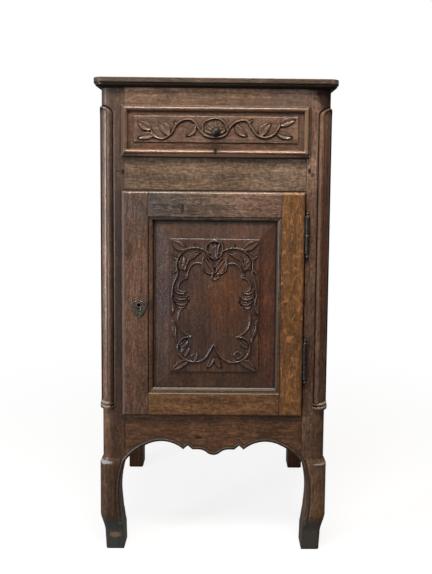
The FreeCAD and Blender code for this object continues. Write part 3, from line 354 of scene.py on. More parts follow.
# %% [markdown]
# Use shows in three ways, and light and shade are painted in with it. A Bevel node rounds the sharp
# edges in the shading, and where it bends the surface the wood is rubbed pale, most on edges that face
# up, where the paler wood is a painted highlight. Two Ambient Occlusion nodes find the corners, one the
# fine cracks and one the wide hollows, and fill them with grime and painted shade. It could be painted
# on by hand, but these nodes find every corner by themselves. What faces down gets painted shade. The
# joints between boards are only dark lines, and the feet grow darker towards the floor and are scuffed
# from wet floors.

# %% Define wear, grime, painted highlight and painted shade
# Dark colour for grime and joints, and for painted shade in corners, under things and in grooves.
DARK_GRIME_AND_SHADE = (0.010, 0.006, 0.004, 1)
FOOT_GRIME = (0.037, 0.041, 0.036, 1)
CRACK_REACH = 0.004
HOLLOW_REACH = 0.020
CRACK_SPAN, CRACK_DIRT_AND_SHADE = (0.94, 0.5), 0.85
HOLLOW_SPAN, HOLLOW_DIRT_AND_SHADE = (0.92, 0.4), 0.62
# What faces down is darkened: painted shade.
UNDERSIDE_SHADE_SPAN, UNDERSIDE_SHADE = (-0.2, -0.7), 0.6
MOST_DIRT_AND_SHADE = 0.94
RUB_BEND = (0.985, 0.85)
# The share that grows on edges facing up is a painted highlight.
UP_FACING_HIGHLIGHT = (-0.1, 0.5, 0.25, 1.0)
RUB_NOISE = (70.0, 3.0)
RUB_PATCHES = (0.3, 0.6, 0.0, 0.7)
RUB_AND_HIGHLIGHT_TONE = 3.0
JOINT_AND_SHADE_LINE_SPAN = (2.0 * MM, 0.7 * MM, 0.0, 0.85)
DIM_BELOW = 0.36
SCUFF_HEIGHTS = (0.088, 0.066)
SCUFF_STREAKS = (0.36, 0.60, 0.45, 1.0)
FRONT_SPAN = (-0.10, -0.15)


# Edges rubbed pale where the surface bends, with a painted highlight on edges that face up.
def rub_and_highlight_edges(oak, tint, colour, moved, round_normal, facing_up):
    flat_normal = oak.add("ShaderNodeNewGeometry", {}).outputs["Normal"]
    bend = oak.vectors("DOT_PRODUCT", round_normal, flat_normal, "Value")
    rubbed_and_lit = oak.sums("MULTIPLY", oak.span(bend, *RUB_BEND), oak.span(facing_up, *UP_FACING_HIGHLIGHT))
    rubbed_and_lit = oak.sums("MULTIPLY", rubbed_and_lit, oak.span(oak.noise(moved, *RUB_NOISE), *RUB_PATCHES))
    return oak.mix(rubbed_and_lit, tint, (*shade(colour, RUB_AND_HIGHLIGHT_TONE), 1))


def grime_and_painted_shade(oak, grime, facing_up):
    """Share of soiling and painted shade in the cracks and the hollows, and of painted shade on what faces
    down.
    """
    cracks = oak.add("ShaderNodeAmbientOcclusion", {"Distance": CRACK_REACH}, samples=8).outputs["AO"]
    hollows = oak.add("ShaderNodeAmbientOcclusion", {"Distance": HOLLOW_REACH}, samples=8).outputs["AO"]
    dirt = oak.total(0.0, (oak.span(cracks, *CRACK_SPAN), CRACK_DIRT_AND_SHADE * grime),
                     (oak.span(hollows, *HOLLOW_SPAN), HOLLOW_DIRT_AND_SHADE * grime),
                     (oak.span(facing_up, *UNDERSIDE_SHADE_SPAN), UNDERSIDE_SHADE * grime))
    return oak.sums("MINIMUM", dirt, MOST_DIRT_AND_SHADE)


# Dark lines: joints, and lines of painted shade and shadow.
def dark_joint_and_shade_lines(oak, tint, places, lines):
    for axis, place in lines:
        away = oak.sums("ABSOLUTE", oak.sums("SUBTRACT", places[AXES[axis]], place * MM))
        tint = oak.mix(oak.span(away, *JOINT_AND_SHADE_LINE_SPAN), tint, DARK_GRIME_AND_SHADE)
    return tint


def old_feet(oak, tint, places, streaks, dim):
    """Darker towards the floor, and scuffed at the ends of the front feet."""
    tint = oak.mix(oak.span(places[2], DIM_BELOW, 0.0, 0.0, dim), tint, DARK_GRIME_AND_SHADE)
    scuffed = oak.sums("MULTIPLY", oak.span(places[2], *SCUFF_HEIGHTS), oak.span(streaks, *SCUFF_STREAKS))
    scuffed = oak.sums("MULTIPLY", scuffed, oak.span(places[1], *FRONT_SPAN))
    return oak.mix(scuffed, tint, FOOT_GRIME)


print("grime reaches", CRACK_REACH, "m in cracks and", HOLLOW_REACH, "m in hollows")

# %% [markdown]
# Single spots need stains of two kinds, and some spots are painted light or shade rather than stains.
# A mark is a ragged spot that covers the wood and takes its shine, as a nail hole or a rubbed arris does.
# A bloom is a soft stain that tints the wood under the wax and leaves its shine. Each is an ellipsoid: its
# middle, its reach along x, y and z, and a colour. A stain has its place in space, so two boards that share
# one take it across their joint. Put together, the finish goes from the wood outwards: grain, blooms,
# rubbed edges with their painted highlight, grime with painted shade, joints and shade lines, feet and
# marks. Grime and painted shade make the wax rough and take its shine away.

# %% Define stains and the whole oak finish
RAGGED_NOISE = (220.0, 3.0)
RAGGED = 0.7
BLOOM_SPAN = (1.3, 0.3, 0.0, 0.85)
MARK_SPAN = (1.15, 0.8, 0.0, 0.9)
FULL_SHINE = 0.55
LOST_SHINE = 0.45
GRAIN_DEEP = 0.0004
CARVED_SOFT = 0.0006


def reach(oak, spot, centre, size):
    """Distance from the centre of a stain, one at its edge."""
    away = oak.vectors("SUBTRACT", spot, tuple(v * MM for v in centre))
    return oak.vectors("LENGTH", oak.vectors("DIVIDE", away, tuple(v * MM for v in size)), result="Value")


def soft_blooms(oak, tint, spot, blooms):
    for centre, size, stain in blooms:
        share = oak.span(reach(oak, spot, centre, size), *BLOOM_SPAN)
        tint = oak.mix(share, tint, (*stain, 1), "MULTIPLY")
    return tint


def ragged_marks(oak, tint, dirt, spot, moved, marks):
    ragged = oak.total(-RAGGED / 2, (oak.noise(moved, *RAGGED_NOISE), RAGGED))
    for centre, size, stain in marks:
        share = oak.span(oak.sums("ADD", reach(oak, spot, centre, size), ragged), *MARK_SPAN)
        tint = oak.mix(share, tint, (*stain, 1))
        dirt = oak.sums("MAXIMUM", dirt, share)
    return tint, dirt


def old_oak(name, colour, long, seed, soft=0.0022, fleck=0.0, dim=0.0, lines=(), marks=(), blooms=(),
            grime=1.0, polish=0.25, figure=1.0, wax=WAX_TINT, coat=0.28, quirk=""):
    """Oak for one board. Long is the axis of its grain, soft the radius of its edges, fleck the share of
    ray flecks. Dim darkens the feet. Lines are dark joints and lines of painted shade, each an axis and a
    place; marks and blooms are stains and painted light. Grime sets the share of soiling and painted shade,
    polish the roughness of the wax, figure the strength of the grain, wax the tint of its shine, coat the
    share of clear wax. Quirk names the attribute of grooved lines that get painted shade."""
    oak = Finish(bpy.data.materials.new(name))
    spot = oak.places()
    places = oak.apart(spot)
    tint, moved, streaks, pores, blotch = grain_tint(oak, spot, colour, long, seed, fleck, figure)
    tint = soft_blooms(oak, tint, spot, blooms)
    round_normal = oak.add("ShaderNodeBevel", {"Radius": soft}, samples=6).outputs[0]
    facing_up = oak.apart(round_normal)[2]
    tint = rub_and_highlight_edges(oak, tint, colour, moved, round_normal, facing_up)
    dirt = grime_and_painted_shade(oak, grime, facing_up)
    # Grime and painted shade from cracks, hollows and undersides.
    tint = oak.mix(dirt, tint, DARK_GRIME_AND_SHADE)
    tint = dark_joint_and_shade_lines(oak, tint, places, lines)
    # Lines marked by the attribute get painted shade.
    if quirk:
        groove_shade_share = oak.add("ShaderNodeAttribute", {}, attribute_name=quirk).outputs["Fac"]
        tint = oak.mix(groove_shade_share, tint, DARK_GRIME_AND_SHADE)
    if dim:
        tint = old_feet(oak, tint, places, streaks, dim)
    tint, dirt = ragged_marks(oak, tint, dirt, spot, moved, marks)
    clear = oak.total(coat, (dirt, -coat)) if coat else 0.0
    gloss = oak.total(polish, (streaks, 0.1), (dirt, 0.35), (pores, 0.15))
    height = oak.total(0.0, (streaks, 0.5), (pores, -0.5), (blotch, 0.8))
    shine = oak.total(FULL_SHINE, (dirt, -LOST_SHINE))
    return oak.close(tint, gloss, height, GRAIN_DEEP, round_normal, shine=shine, coat=clear, wax=wax)


print("oak finish ready")

# %% [markdown]
# The boards were never one colour. Top and left post are dull and dark, rails and right post are paler,
# the hinge stile is golden, and the wood inside is the palest because no light and no wax reached it. The
# shine has a tint as well: cool on the panel, red on the right post and the rear posts.

# %% Choose the colours of the oak
TOP_OAK = (0.060, 0.035, 0.022)
LEFT_OAK = (0.060, 0.033, 0.023)
RIGHT_OAK = (0.110, 0.062, 0.044)
PALE_RAIL_OAK = (0.118, 0.066, 0.041)
RAIL_OAK = (0.116, 0.072, 0.045)
GREY_RAIL_OAK = (0.088, 0.056, 0.040)
DARK_OAK = (0.076, 0.034, 0.016)
LEG_OAK = (0.074, 0.030, 0.015)
DRAWER_OAK = (0.080, 0.039, 0.023)
FIELD_OAK = (0.104, 0.057, 0.037)
STILE_OAK = (0.094, 0.046, 0.028)
GOLD_OAK = (0.108, 0.050, 0.021)
WARM_OAK = (0.118, 0.051, 0.017)
PANEL_OAK = (0.062, 0.028, 0.015)
SIDE_OAK = (0.090, 0.049, 0.029)
INSIDE_OAK = (0.190, 0.120, 0.070)
PEG_OAK = (0.075, 0.040, 0.025)
COOL_WAX = (0.84, 0.92, 1.0, 1)
RED_WAX = (1.0, 0.66, 0.46, 1)
print("palest oak:", INSIDE_OAK, "darkest oak:", PANEL_OAK)

# %% [markdown]
# The posts took most of the knocks. Their knees and the two fillets under each column are rubbed down to
# grey wood, with a painted highlight on them, a foot is chipped, and a nail hole is left in each post
# beside the middle rail. The left column gets a painted pool of light and a line of painted shade in its
# groove. The right corner under the top is painted black as shade.

# %% Place the stains and painted light of the posts
DARK_STAIN = (0.012, 0.008, 0.006)
BARE_WOOD = (0.17, 0.10, 0.065)
# Rubbed wax with a painted highlight, for the fillets under the columns.
LIT_RUBBED_WAX = (0.27, 0.235, 0.195)
# Knees: rubbed grey wood with a painted highlight on the ledge.
lit_knee_left = ((-270.0, -190.0, 220.2), (30.0, 40.0, 3.6), (0.26, 0.26, 0.255))
lit_knee_right = ((256.0, -190.0, 218.6), (19.0, 34.0, 1.6), (0.23, 0.21, 0.19))
chipped_foot = ((-235.0, -192.0, 36.0), (14.0, 16.0, 7.5), BARE_WOOD)
nail_left = ((-213.0, -192.5, 908.0), (3.4, 4.0, 6.0), DARK_STAIN)
nail_right = ((216.0, -192.5, 914.0), (4.2, 4.0, 6.0), DARK_STAIN)
# Painted shade in the groove of the left column, which also takes its shine.
column_groove_shade = ((-250.9, -190.0, 700.0), (1.7, 60.0, 345.0), (0.075, 0.050, 0.038))
# Painted shade in the right corner under the top.
shaded_corner = ((253.0, -190.0, 1092.0), (26.0, 120.0, 37.0), (0.014, 0.008, 0.008))
# Two fillets under each column: painted highlight lines over rubbed wax.
lit_collars = [((side * 260.0, -196.0, level), (15.0, 26.0, 2.1), LIT_RUBBED_WAX)
           for side in (-1, 1) for level in (357, 365)]
# A painted pool of light on the left column.
lit_column = ((-257.0, -190.0, 600.0), (15.0, 60.0, 400.0), (2.9, 2.7, 2.45))
dark_flat = ((-226.0, -195.0, 600.0), (20.0, 40.0, 400.0), (0.40, 0.30, 0.30))
warm_legs = ((0.0, -190.0, 200.0), (400.0, 60.0, 260.0), (1.1, 0.88, 0.53))
red_column = ((255.0, -190.0, 740.0), (19.0, 60.0, 460.0), (0.38, 0.20, 0.09))
dusky_block = ((256.0, -190.0, 300.0), (70.0, 60.0, 80.0), (0.72, 0.70, 0.58))
pale_leg = ((250.0, -190.0, 110.0), (90.0, 60.0, 110.0), (1.42, 1.34, 0.92))
pale_flat = ((226.0, -192.0, 960.0), (20.0, 40.0, 110.0), (1.5, 1.65, 1.7))
dim_head = ((226.0, -192.0, 1088.0), (32.0, 60.0, 38.0), (0.82, 0.90, 1.05))
left_post_marks = [lit_knee_left, chipped_foot, nail_left, column_groove_shade, *lit_collars]
left_post_blooms = [lit_column, dark_flat, warm_legs]
right_post_marks = [lit_knee_right, nail_right, shaded_corner, *lit_collars]
right_post_blooms = [red_column, dusky_block, pale_leg, pale_flat, dim_head]
print("left post, marks:", len(left_post_marks), "blooms:", len(left_post_blooms))
print("right post, marks:", len(right_post_marks), "blooms:", len(right_post_blooms))

# %% [markdown]
# Top, rails and drawer are stained where dust settles and hands reach, and light and shade are painted on
# them as well. The moulding under the top's edge gets a painted shadow and the rail below it painted light.
# The drawer's lip is painted lighter, its lower bead gets a painted highlight line and has a gap, its right
# end a painted golden highlight, and the apron has one knot.

# %% Place the stains and painted light of the top, the rails and the drawer
# Painted shadow on the moulding under the top's edge.
shaded_cove = ((0.0, 0.0, 1102.0), (900.0, 900.0, 9.0), (0.12, 0.12, 0.12))
# Painted light on the top rail that lifts the shade under the top.
lit_under_top = ((0.0, -192.5, 1096.0), (500.0, 60.0, 16.0), (2.1, 2.1, 2.05))
dusky_end = ((185.0, -192.5, 1080.0), (80.0, 60.0, 50.0), (0.56, 0.62, 0.80))
pale_end = ((160.0, -192.5, 905.0), (80.0, 60.0, 60.0), (1.25, 1.33, 1.42))
knot = ((-36.0, -192.5, 281.0), (10.0, 4.0, 4.2), shade(DARK_STAIN, 1.6))
# The lip under the drawer's bead lies in shade and is painted lighter: painted light.
lit_lip = ((0.0, -203.0, 947.0), (222.0, 60.0, 3.4), (0.270, 0.150, 0.092))
bead_gap = ((-1.0, -206.0, 957.0), (4.6, 16.0, 8.0), shade(DARK_STAIN, 0.6))
dull_ring = ((-211.0, -204.0, 1002.0), (5.5, 30.0, 62.0), (0.100, 0.060, 0.042))
# A painted golden highlight on the right end of the drawer's bead.
golden_highlight_end = ((205.5, -204.0, 1003.0), (4.6, 30.0, 52.0), (0.155, 0.090, 0.052))
ring_high = ((0.0, -206.0, 1055.0), (600.0, 60.0, 3.0), (0.66, 0.66, 0.58))
# A painted highlight line along the drawer's lower bead.
lit_ring_low = ((0.0, -206.0, 957.5), (600.0, 60.0, 4.0), (2.9, 2.95, 3.0))
drawer_marks = [lit_lip, bead_gap, dull_ring, golden_highlight_end]
drawer_blooms = [ring_high, lit_ring_low]
print("drawer front, marks:", len(drawer_marks), "blooms:", len(drawer_blooms))

# %% [markdown]
# On the door the arrises of the moulding are rubbed, the bottom moulding gets painted highlight lines, and
# there is a spot of ink on the top rail. The panel is warm in the middle and along its right edge, has
# painted shade inside the rim on the left, and a painted cool reflection where it meets the lock stile.
# The carving takes the same blooms, so that panel and carving stay one piece of wood.

# %% Place the stains and painted light of the door
ink_spot = ((-75.0, -204.5, 826.0), (4.6, 3.0, 12.0), (0.018, 0.019, 0.021))
dull_arris = ((-210.4, -203.0, 600.0), (2.4, 60.0, 420.0), (0.105, 0.084, 0.074))
grey_mould = ((144.8, -200.0, 600.0), (2.0, 60.0, 600.0), (0.050, 0.041, 0.035))
grey_slope = ((0.0, -200.0, 400.6), (500.0, 60.0, 2.2), (0.080, 0.070, 0.058))
# Painted highlight lines on the bottom moulding of the door.
sight_highlight = ((0.0, -200.0, 402.6), (500.0, 60.0, 0.9), (0.21, 0.18, 0.155))
arris_highlight = ((0.0, -200.0, 391.8), (500.0, 60.0, 1.0), (0.20, 0.165, 0.130))
warm_pegs = ((180.0, -204.5, 600.0), (40.0, 20.0, 400.0), WARM_OAK)
grey_corner = ((-160.0, -204.0, 838.0), (100.0, 40.0, 70.0), (0.70, 0.88, 1.10))
warm_end = ((105.0, -204.0, 838.0), (75.0, 40.0, 60.0), (1.40, 1.24, 1.18))
warm_middle = ((30.0, -201.0, 620.0), (46.0, 40.0, 95.0), (1.45, 1.15, 0.85))
warm_edge = ((122.0, -201.0, 600.0), (30.0, 40.0, 190.0), (1.3, 0.95, 0.8))
# Painted shade inside the rim, on the left of the panel.
shaded_left = ((-45.0, -201.0, 530.0), (55.0, 40.0, 60.0), (0.62, 0.66, 0.95))
shaded_top = ((-70.0, -201.0, 655.0), (32.0, 40.0, 30.0), (0.6, 0.65, 0.95))
# A painted cool reflection on the panel where it meets the lock stile.
cool_reflection_edge = ((-128.0, -201.0, 600.0), (32.0, 40.0, 220.0), (0.92, 1.15, 1.7))
bottom_rail_marks = [grey_slope, sight_highlight, arris_highlight]
panel_blooms = [warm_middle, warm_edge, shaded_left, shaded_top, cool_reflection_edge]
print("panel, blooms:", len(panel_blooms))

# %% [markdown]
# The boards are listed with their colour, their grain and what is special about each. Posts and stiles
# have upright grain, rails have level grain. The hinge stile is cut on the quarter, so pale flecks cross
# its grain. Most dark lines are the shoulders where rails meet posts and stiles; the line under the
# drawer is a painted shadow, and the lines in the drawer's lip and beside the door's mouldings are
# painted shade in their grooves.

# %% List the boards of the top and the front
POST_LINE = 210.0
# The line under the drawer is a painted shadow on the middle rail.
DRAWER_SHADOW_LINE = 942.5
RAIL_LOW_LINE = 867.0
# A line of painted shade in the groove of the drawer's lip.
LIP_GROOVE_SHADE_LINE = 950.5
DRAWER_END_LINE = 210.5
DOOR_EDGE_LINE = -210.8
LEFT_LINE = -153.5
RIGHT_LINE = 153.0
# Lines of painted shade in the quirks beside the door's mouldings.
STILE_QUIRK_SHADE_LINE = 148.5
RAIL_QUIRK_SHADE_LINE = 397.6
post_lines = [("x", -POST_LINE), ("x", POST_LINE)]
stile_lines = [("x", LEFT_LINE), ("x", RIGHT_LINE)]
top_look = dict(colour=TOP_OAK, long="x", grime=1.7, polish=0.33, blooms=[shaded_cove])
rear_look = dict(colour=LEG_OAK, long="z", dim=0.5, wax=RED_WAX, coat=0.1)

boards = {
    "top_front_board": top_look,
    "top_back_board": top_look,
    "front_post_left": dict(colour=LEFT_OAK, long="z", soft=0.004, dim=0.4, polish=0.34, coat=0.18,
                            blooms=left_post_blooms, marks=left_post_marks),
    "front_post_right": dict(colour=RIGHT_OAK, long="z", soft=0.004, dim=0.4, polish=0.36, coat=0.08,
                             wax=RED_WAX, blooms=right_post_blooms, marks=right_post_marks),
    "rear_post_left": rear_look,
    "rear_post_right": rear_look,
    "top_front_rail": dict(colour=PALE_RAIL_OAK, long="x", grime=0.4, blooms=[lit_under_top, dusky_end],
                           lines=post_lines),
    "middle_front_rail": dict(colour=RAIL_OAK, long="x", figure=1.2, blooms=[pale_end],
                              lines=post_lines + [("z", DRAWER_SHADOW_LINE), ("z", RAIL_LOW_LINE)]),
    "apron": dict(colour=DARK_OAK, long="x", lines=post_lines, marks=[knot]),
    "drawer_front": dict(colour=DRAWER_OAK, long="x", soft=0.0026, polish=0.2, coat=0.4, grime=0.6,
                         marks=drawer_marks, blooms=drawer_blooms,
                         lines=[("z", LIP_GROOVE_SHADE_LINE), ("x", -DRAWER_END_LINE), ("x", DRAWER_END_LINE)]),
    "door_lock_stile": dict(colour=STILE_OAK, long="z", soft=0.003, blooms=[grey_corner],
                            marks=[dull_arris], lines=[("x", LEFT_LINE), ("x", DOOR_EDGE_LINE)]),
    "door_hinge_stile": dict(colour=WARM_OAK, long="z", soft=0.003, fleck=0.9, figure=0.85,
                             marks=[grey_mould], lines=[("x", RIGHT_LINE), ("x", STILE_QUIRK_SHADE_LINE)]),
    "door_top_rail": dict(colour=GREY_RAIL_OAK, long="x", soft=0.003, fleck=0.5, figure=1.25,
                          marks=[ink_spot], blooms=[grey_corner, warm_end], lines=stile_lines),
    "door_bottom_rail": dict(colour=GOLD_OAK, long="x", soft=0.003, fleck=0.3, marks=bottom_rail_marks,
                             lines=stile_lines + [("z", RAIL_QUIRK_SHADE_LINE)]),
    "door_panel": dict(colour=PANEL_OAK, long="z", soft=CARVED_SOFT, figure=0.8, grime=0.75,
                       blooms=panel_blooms, wax=COOL_WAX),
}
print("boards of the top and the front:", len(boards))

# %% [markdown]
# The rest repeats from left to right, so loops list it. Back and inside were never waxed: their wood is
# rough and has no clear coat. Their boards only lie edge to edge, and dark lines show the joints.

# %% Finish all the oak
UNWAXED = dict(polish=0.55, coat=0.0)
PEG_LOOK = dict(long="y", soft=0.0005, grime=0.3)
BACK_LINES = {"left": [("x", -77.3)], "middle": [("x", -85.3), ("x", 77.3)], "right": [("x", 69.3)]}
FLOOR_LINES = {"front": [("y", -42.5)], "middle": [("y", 81.5)], "back": []}
INSIDE_STRIPS = ["floor_bearer_", "shelf_cleat_", "drawer_runner_", "drawer_guide_", "drawer_kicker_",
                 "drawer_side_"]

for name in ("back_top_rail", "back_bottom_rail"):
    boards[name] = dict(colour=SIDE_OAK, long="x", **UNWAXED)
for name in ("shelf", "drawer_back", "drawer_bottom"):
    boards[name] = dict(colour=INSIDE_OAK, long="x", **UNWAXED)
boards["frame_pegs"] = dict(colour=PEG_OAK, **PEG_LOOK)
boards["door_pegs"] = dict(colour=STILE_OAK, marks=[warm_pegs], **PEG_LOOK)
for side in ("left", "right"):
    boards["side_panel_" + side] = dict(colour=SIDE_OAK, long="z")
    for name in ("side_top_rail_", "side_bottom_rail_"):
        boards[name + side] = dict(colour=SIDE_OAK, long="y")
    for name in INSIDE_STRIPS:
        boards[name + side] = dict(colour=INSIDE_OAK, long="y", **UNWAXED)
for place, lines in BACK_LINES.items():
    boards["back_board_" + place] = dict(colour=SIDE_OAK, long="z", lines=lines, **UNWAXED)
for place, lines in FLOOR_LINES.items():
    boards["floor_board_" + place] = dict(colour=INSIDE_OAK, long="x", lines=lines, **UNWAXED)


def dress(node, material):
    node.data.materials.clear()
    node.data.materials.append(material)


seeds = {name: seed for seed, name in enumerate(boards, start=1)}
for name, look in boards.items():
    dress(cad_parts[name], old_oak("oak_" + name, seed=seeds[name], **look))
print("boards finished:", len(boards))

# %% [markdown]
# ## Ironwork
# Knob, hinges and lock are forged iron: nearly black, a little brown where rust was rubbed off, with
# hammer marks. The marks are so shallow that bumps in the finish show them as well as real dents would.
# The key plate is handled every day, so it is worn to grey steel.

# %% Finish the iron
DARK_IRON = (0.036, 0.035, 0.034)
RUBBED_IRON = (0.22, 0.21, 0.20)
PLATE_IRON = (0.15, 0.125, 0.098)
BRIGHT_IRON = (0.34, 0.30, 0.25)
RUST = (0.055, 0.028, 0.014, 1)
HAMMER_MARKS = (160.0, 3.0, 0.5)
RUST_SPOTS = (90.0, 4.0, 0.65)
HAMMER_SPAN = (0.3, 0.7)
RUST_SPAN, RUST_SHARE = (0.48, 0.7), 0.6
WORN_SPAN = (0.99, 0.82)
HAMMER_DEEP = 0.0005
IRON_SOFT = 0.0012
METAL_SHARE = 0.85
PLATE_SEED = 11
iron_nodes = ["hinge_lower_frame_leaf", "hinge_upper_frame_leaf", "hinge_lower_door_leaf",
              "hinge_upper_door_leaf", "lock_case", "lock_bolt", "drawer_knob"]


def forged_iron(name, colour, worn, seed, rough=0.42):
    iron = Finish(bpy.data.materials.new(name))
    moved = iron.stretched(iron.places(), shift=(seed, 2 * seed, 3 * seed))
    hammer = iron.noise(moved, *HAMMER_MARKS)
    rust = iron.span(iron.noise(moved, *RUST_SPOTS), *RUST_SPAN)
    round_normal = iron.add("ShaderNodeBevel", {"Radius": IRON_SOFT}, samples=6).outputs[0]
    flat_normal = iron.add("ShaderNodeNewGeometry", {}).outputs["Normal"]
    bend = iron.vectors("DOT_PRODUCT", round_normal, flat_normal, "Value")
    tint = iron.ramp(hammer, list(zip(HAMMER_SPAN, (shade(colour, 0.55), shade(colour, 1.5)))))
    tint = iron.mix(iron.sums("MULTIPLY", rust, RUST_SHARE), tint, RUST)
    tint = iron.mix(iron.span(bend, *WORN_SPAN), tint, (*worn, 1))
    gloss = iron.total(iron.span(hammer, *HAMMER_SPAN, rough - 0.08, rough + 0.1), (rust, 0.2))
    height = iron.total(hammer, (rust, -0.3))
    return iron.close(tint, gloss, height, HAMMER_DEEP, round_normal, metal=METAL_SHARE)


for seed, name in enumerate(iron_nodes, start=1):
    dress(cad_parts[name], forged_iron("iron_" + name, DARK_IRON, RUBBED_IRON, seed))
dress(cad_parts["key_plate"], forged_iron("plate_iron", PLATE_IRON, BRIGHT_IRON, PLATE_SEED, 0.36))
print("iron finished:", len(iron_nodes) + 1)

# %% [markdown]
# The knob is turned: a circle is pulled along its axis ring by ring, and every ring gets its own radius.
# Spinning an outline would give the same form, but a list of rings reads like a turner's drawing. The raised
# oval round the keyhole is made the same way, then stretched upright, and its last ring is bridged to its
# first, so that the keyhole stays open.

# %% Define how a piece is turned
ROUND_SIDES = 48
TURNED_ANGLE = math.radians(40)


def turned(name, axis, rings, body, material, tall=1.0, open_middle=False):
    """Piece round an axis along y. Every ring is a depth and a radius in millimetres."""
    depth, radius = rings[0]
    place = (axis[0] * MM, depth * MM, axis[1] * MM)
    bpy.ops.object.select_all(action="DESELECT")
    bpy.ops.mesh.primitive_circle_add(vertices=ROUND_SIDES, radius=radius * MM, location=place,
                                      rotation=(math.pi / 2, 0, 0))
    piece = bpy.context.object
    piece.name = name
    bpy.ops.object.transform_apply()
    bpy.ops.object.mode_set(mode="EDIT")
    bpy.ops.mesh.select_all(action="SELECT")
    for (depth, radius), (next_depth, next_radius) in zip(rings, rings[1:]):
        pull = (0, (next_depth - depth) * MM, 0)
        bpy.ops.mesh.extrude_region_move(TRANSFORM_OT_translate={"value": pull})
        grow = next_radius / radius
        bpy.ops.transform.resize(value=(grow, 1, grow), center_override=place)
    bpy.ops.mesh.select_all(action="DESELECT")
    bpy.ops.mesh.select_mode(type="EDGE")
    bpy.ops.mesh.select_non_manifold()
    if open_middle:
        bpy.ops.mesh.bridge_edge_loops()
    else:
        bpy.ops.mesh.fill_holes(sides=0)
    bpy.ops.mesh.select_all(action="SELECT")
    bpy.ops.transform.resize(value=(1, 1, tall), center_override=place)
    bpy.ops.mesh.normals_make_consistent(inside=False)
    bpy.ops.object.mode_set(mode="OBJECT")
    bpy.ops.object.shade_smooth_by_angle(angle=TURNED_ANGLE)
    dress(piece, material)
    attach(piece, body)
    print(name, "faces:", len(piece.data.polygons))
    return piece


print("lathe ready, sides:", ROUND_SIDES)

# %% Turn the knob and the keyhole's oval
KNOB_AXIS = (0.0, 999.0)
KEY_AXIS = (-174.5, 597.0)
HEAD_RADIUS = 10.8
HEAD_DEPTH = -225.5
HEAD_LONG = 9.0
OVAL_SEED = 13
OVAL_TALL = 1.65

head_turns = [math.radians(angle) for angle in range(-50, 90, 10)]
head = [(HEAD_DEPTH - HEAD_LONG * math.sin(turn), HEAD_RADIUS * math.cos(turn)) for turn in head_turns]
shaft = [(-177.5, 7.0), (-178.0, 8.0), (-182.0, 8.0), (-182.5, 7.5), (-182.5, 3.5), (-202.6, 3.5),
         (-202.8, 10.6), (-203.4, 11.0), (-204.2, 10.8), (-204.8, 9.8), (-205.4, 6.0), (-207.0, 4.8),
         (-213.0, 4.5), (-217.0, 6.0)]
knob_iron = bpy.data.materials["iron_drawer_knob"]
knob = turned("turned_knob", KNOB_AXIS, shaft + head, "drawer", knob_iron)
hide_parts("drawer_knob")
oval_iron = forged_iron("oval_iron", shade(PLATE_IRON, 0.6), PLATE_IRON, OVAL_SEED, 0.3)
oval = [(-205.9, 7.0), (-207.0, 6.7), (-207.6, 6.1), (-207.5, 5.4), (-206.8, 4.7), (-205.9, 4.5)]
turned("key_oval", KEY_AXIS, oval, "door", oval_iron, OVAL_TALL, True)

# %% [markdown]
# ## Carving
# The drawer has a vine that waves from end to end, and the door has a frame of vines, shells and scrolls
# round a plain middle. A carver draws the lines, sinks the ground and rounds what is left. Stuck-on leaves
# would never meet the ground like that, so here a fine grid is laid over the field, and every point of it
# is raised by the highest cut that covers it: stems are half round, leaves are two rising halves with a
# valley between. All places are in millimetres from the middle of the field, across and up.

# %% Define the carver's cuts
LEAF_EDGE = 0.22
LEAF_VALLEY = 0.35
GOUGE_DEEP = 0.12
HAIR = 1e-6


def flowing(points, cuts=10):
    """Smooth line through the given points."""
    points = np.array(points, float)
    ends = np.vstack([2 * points[0] - points[1], points, 2 * points[-1] - points[-2]])
    step = np.linspace(0, 1, cuts, endpoint=False)[:, None]
    runs = []
    for before, start, end, after in zip(ends, ends[1:], ends[2:], ends[3:]):
        bend = (2 * before - 5 * start + 4 * end - after) * step ** 2
        twist = (3 * start - before - 3 * end + after) * step ** 3
        runs.append(0.5 * (2 * start + (end - before) * step + bend + twist))
    return np.vstack(runs + [points[-1:]])


def half_round(away, high):
    """Height of a rounded cut, where away is 0 along its middle and 1 at its edge."""
    return high * np.sqrt(np.clip(1 - away ** 2, 0, 1))


def stem(across, up, points, first, last, high):
    """Half-round stem along a line, its width going from first to last."""
    line = flowing(points)
    nearest = np.full(across.shape, np.inf)
    widths = np.linspace(first, last, len(line) - 1)
    for start, end, wide in zip(line, line[1:], widths):
        run = end - start
        share = ((across - start[0]) * run[0] + (up - start[1]) * run[1]) / (run @ run)
        share = np.clip(share, 0, 1)
        away = np.hypot(across - start[0] - share * run[0], up - start[1] - share * run[1])
        nearest = np.minimum(nearest, 2 * away / wide)
    return half_round(nearest, high)


def leaf(across, up, base, tip, wide, high, bend=0.0):
    """Pointed leaf from base to tip: two halves that rise from a valley in the middle to a sharp edge."""
    base = np.array(base, float)
    axis = np.array(tip, float) - base
    long = np.hypot(*axis)
    axis = axis / long
    share = ((across - base[0]) * axis[0] + (up - base[1]) * axis[1]) / long
    held = np.clip(share, 0, 1)
    away = (up - base[1]) * axis[0] - (across - base[0]) * axis[1] - 4 * bend * held * (1 - held)
    half = wide / 2 * np.sin(np.pi * held ** 0.8) ** 0.85 + HAIR
    part = np.abs(away) / half
    edge = np.sqrt(np.clip((1 - part) / LEAF_EDGE, 0, 1))
    rise = LEAF_VALLEY + (1 - LEAF_VALLEY) * np.clip(part, 0, 1) ** 0.8
    return np.where((share > 0) & (share < 1), high * edge * rise, 0.0)


def knop(across, up, centre, radius, high):
    return half_round(np.hypot(across - centre[0], up - centre[1]) / radius, high)


def eyelet(across, up, centre, radius, wide, high):
    away = np.abs(np.hypot(across - centre[0], up - centre[1]) - radius)
    return half_round(away / (wide / 2), high)


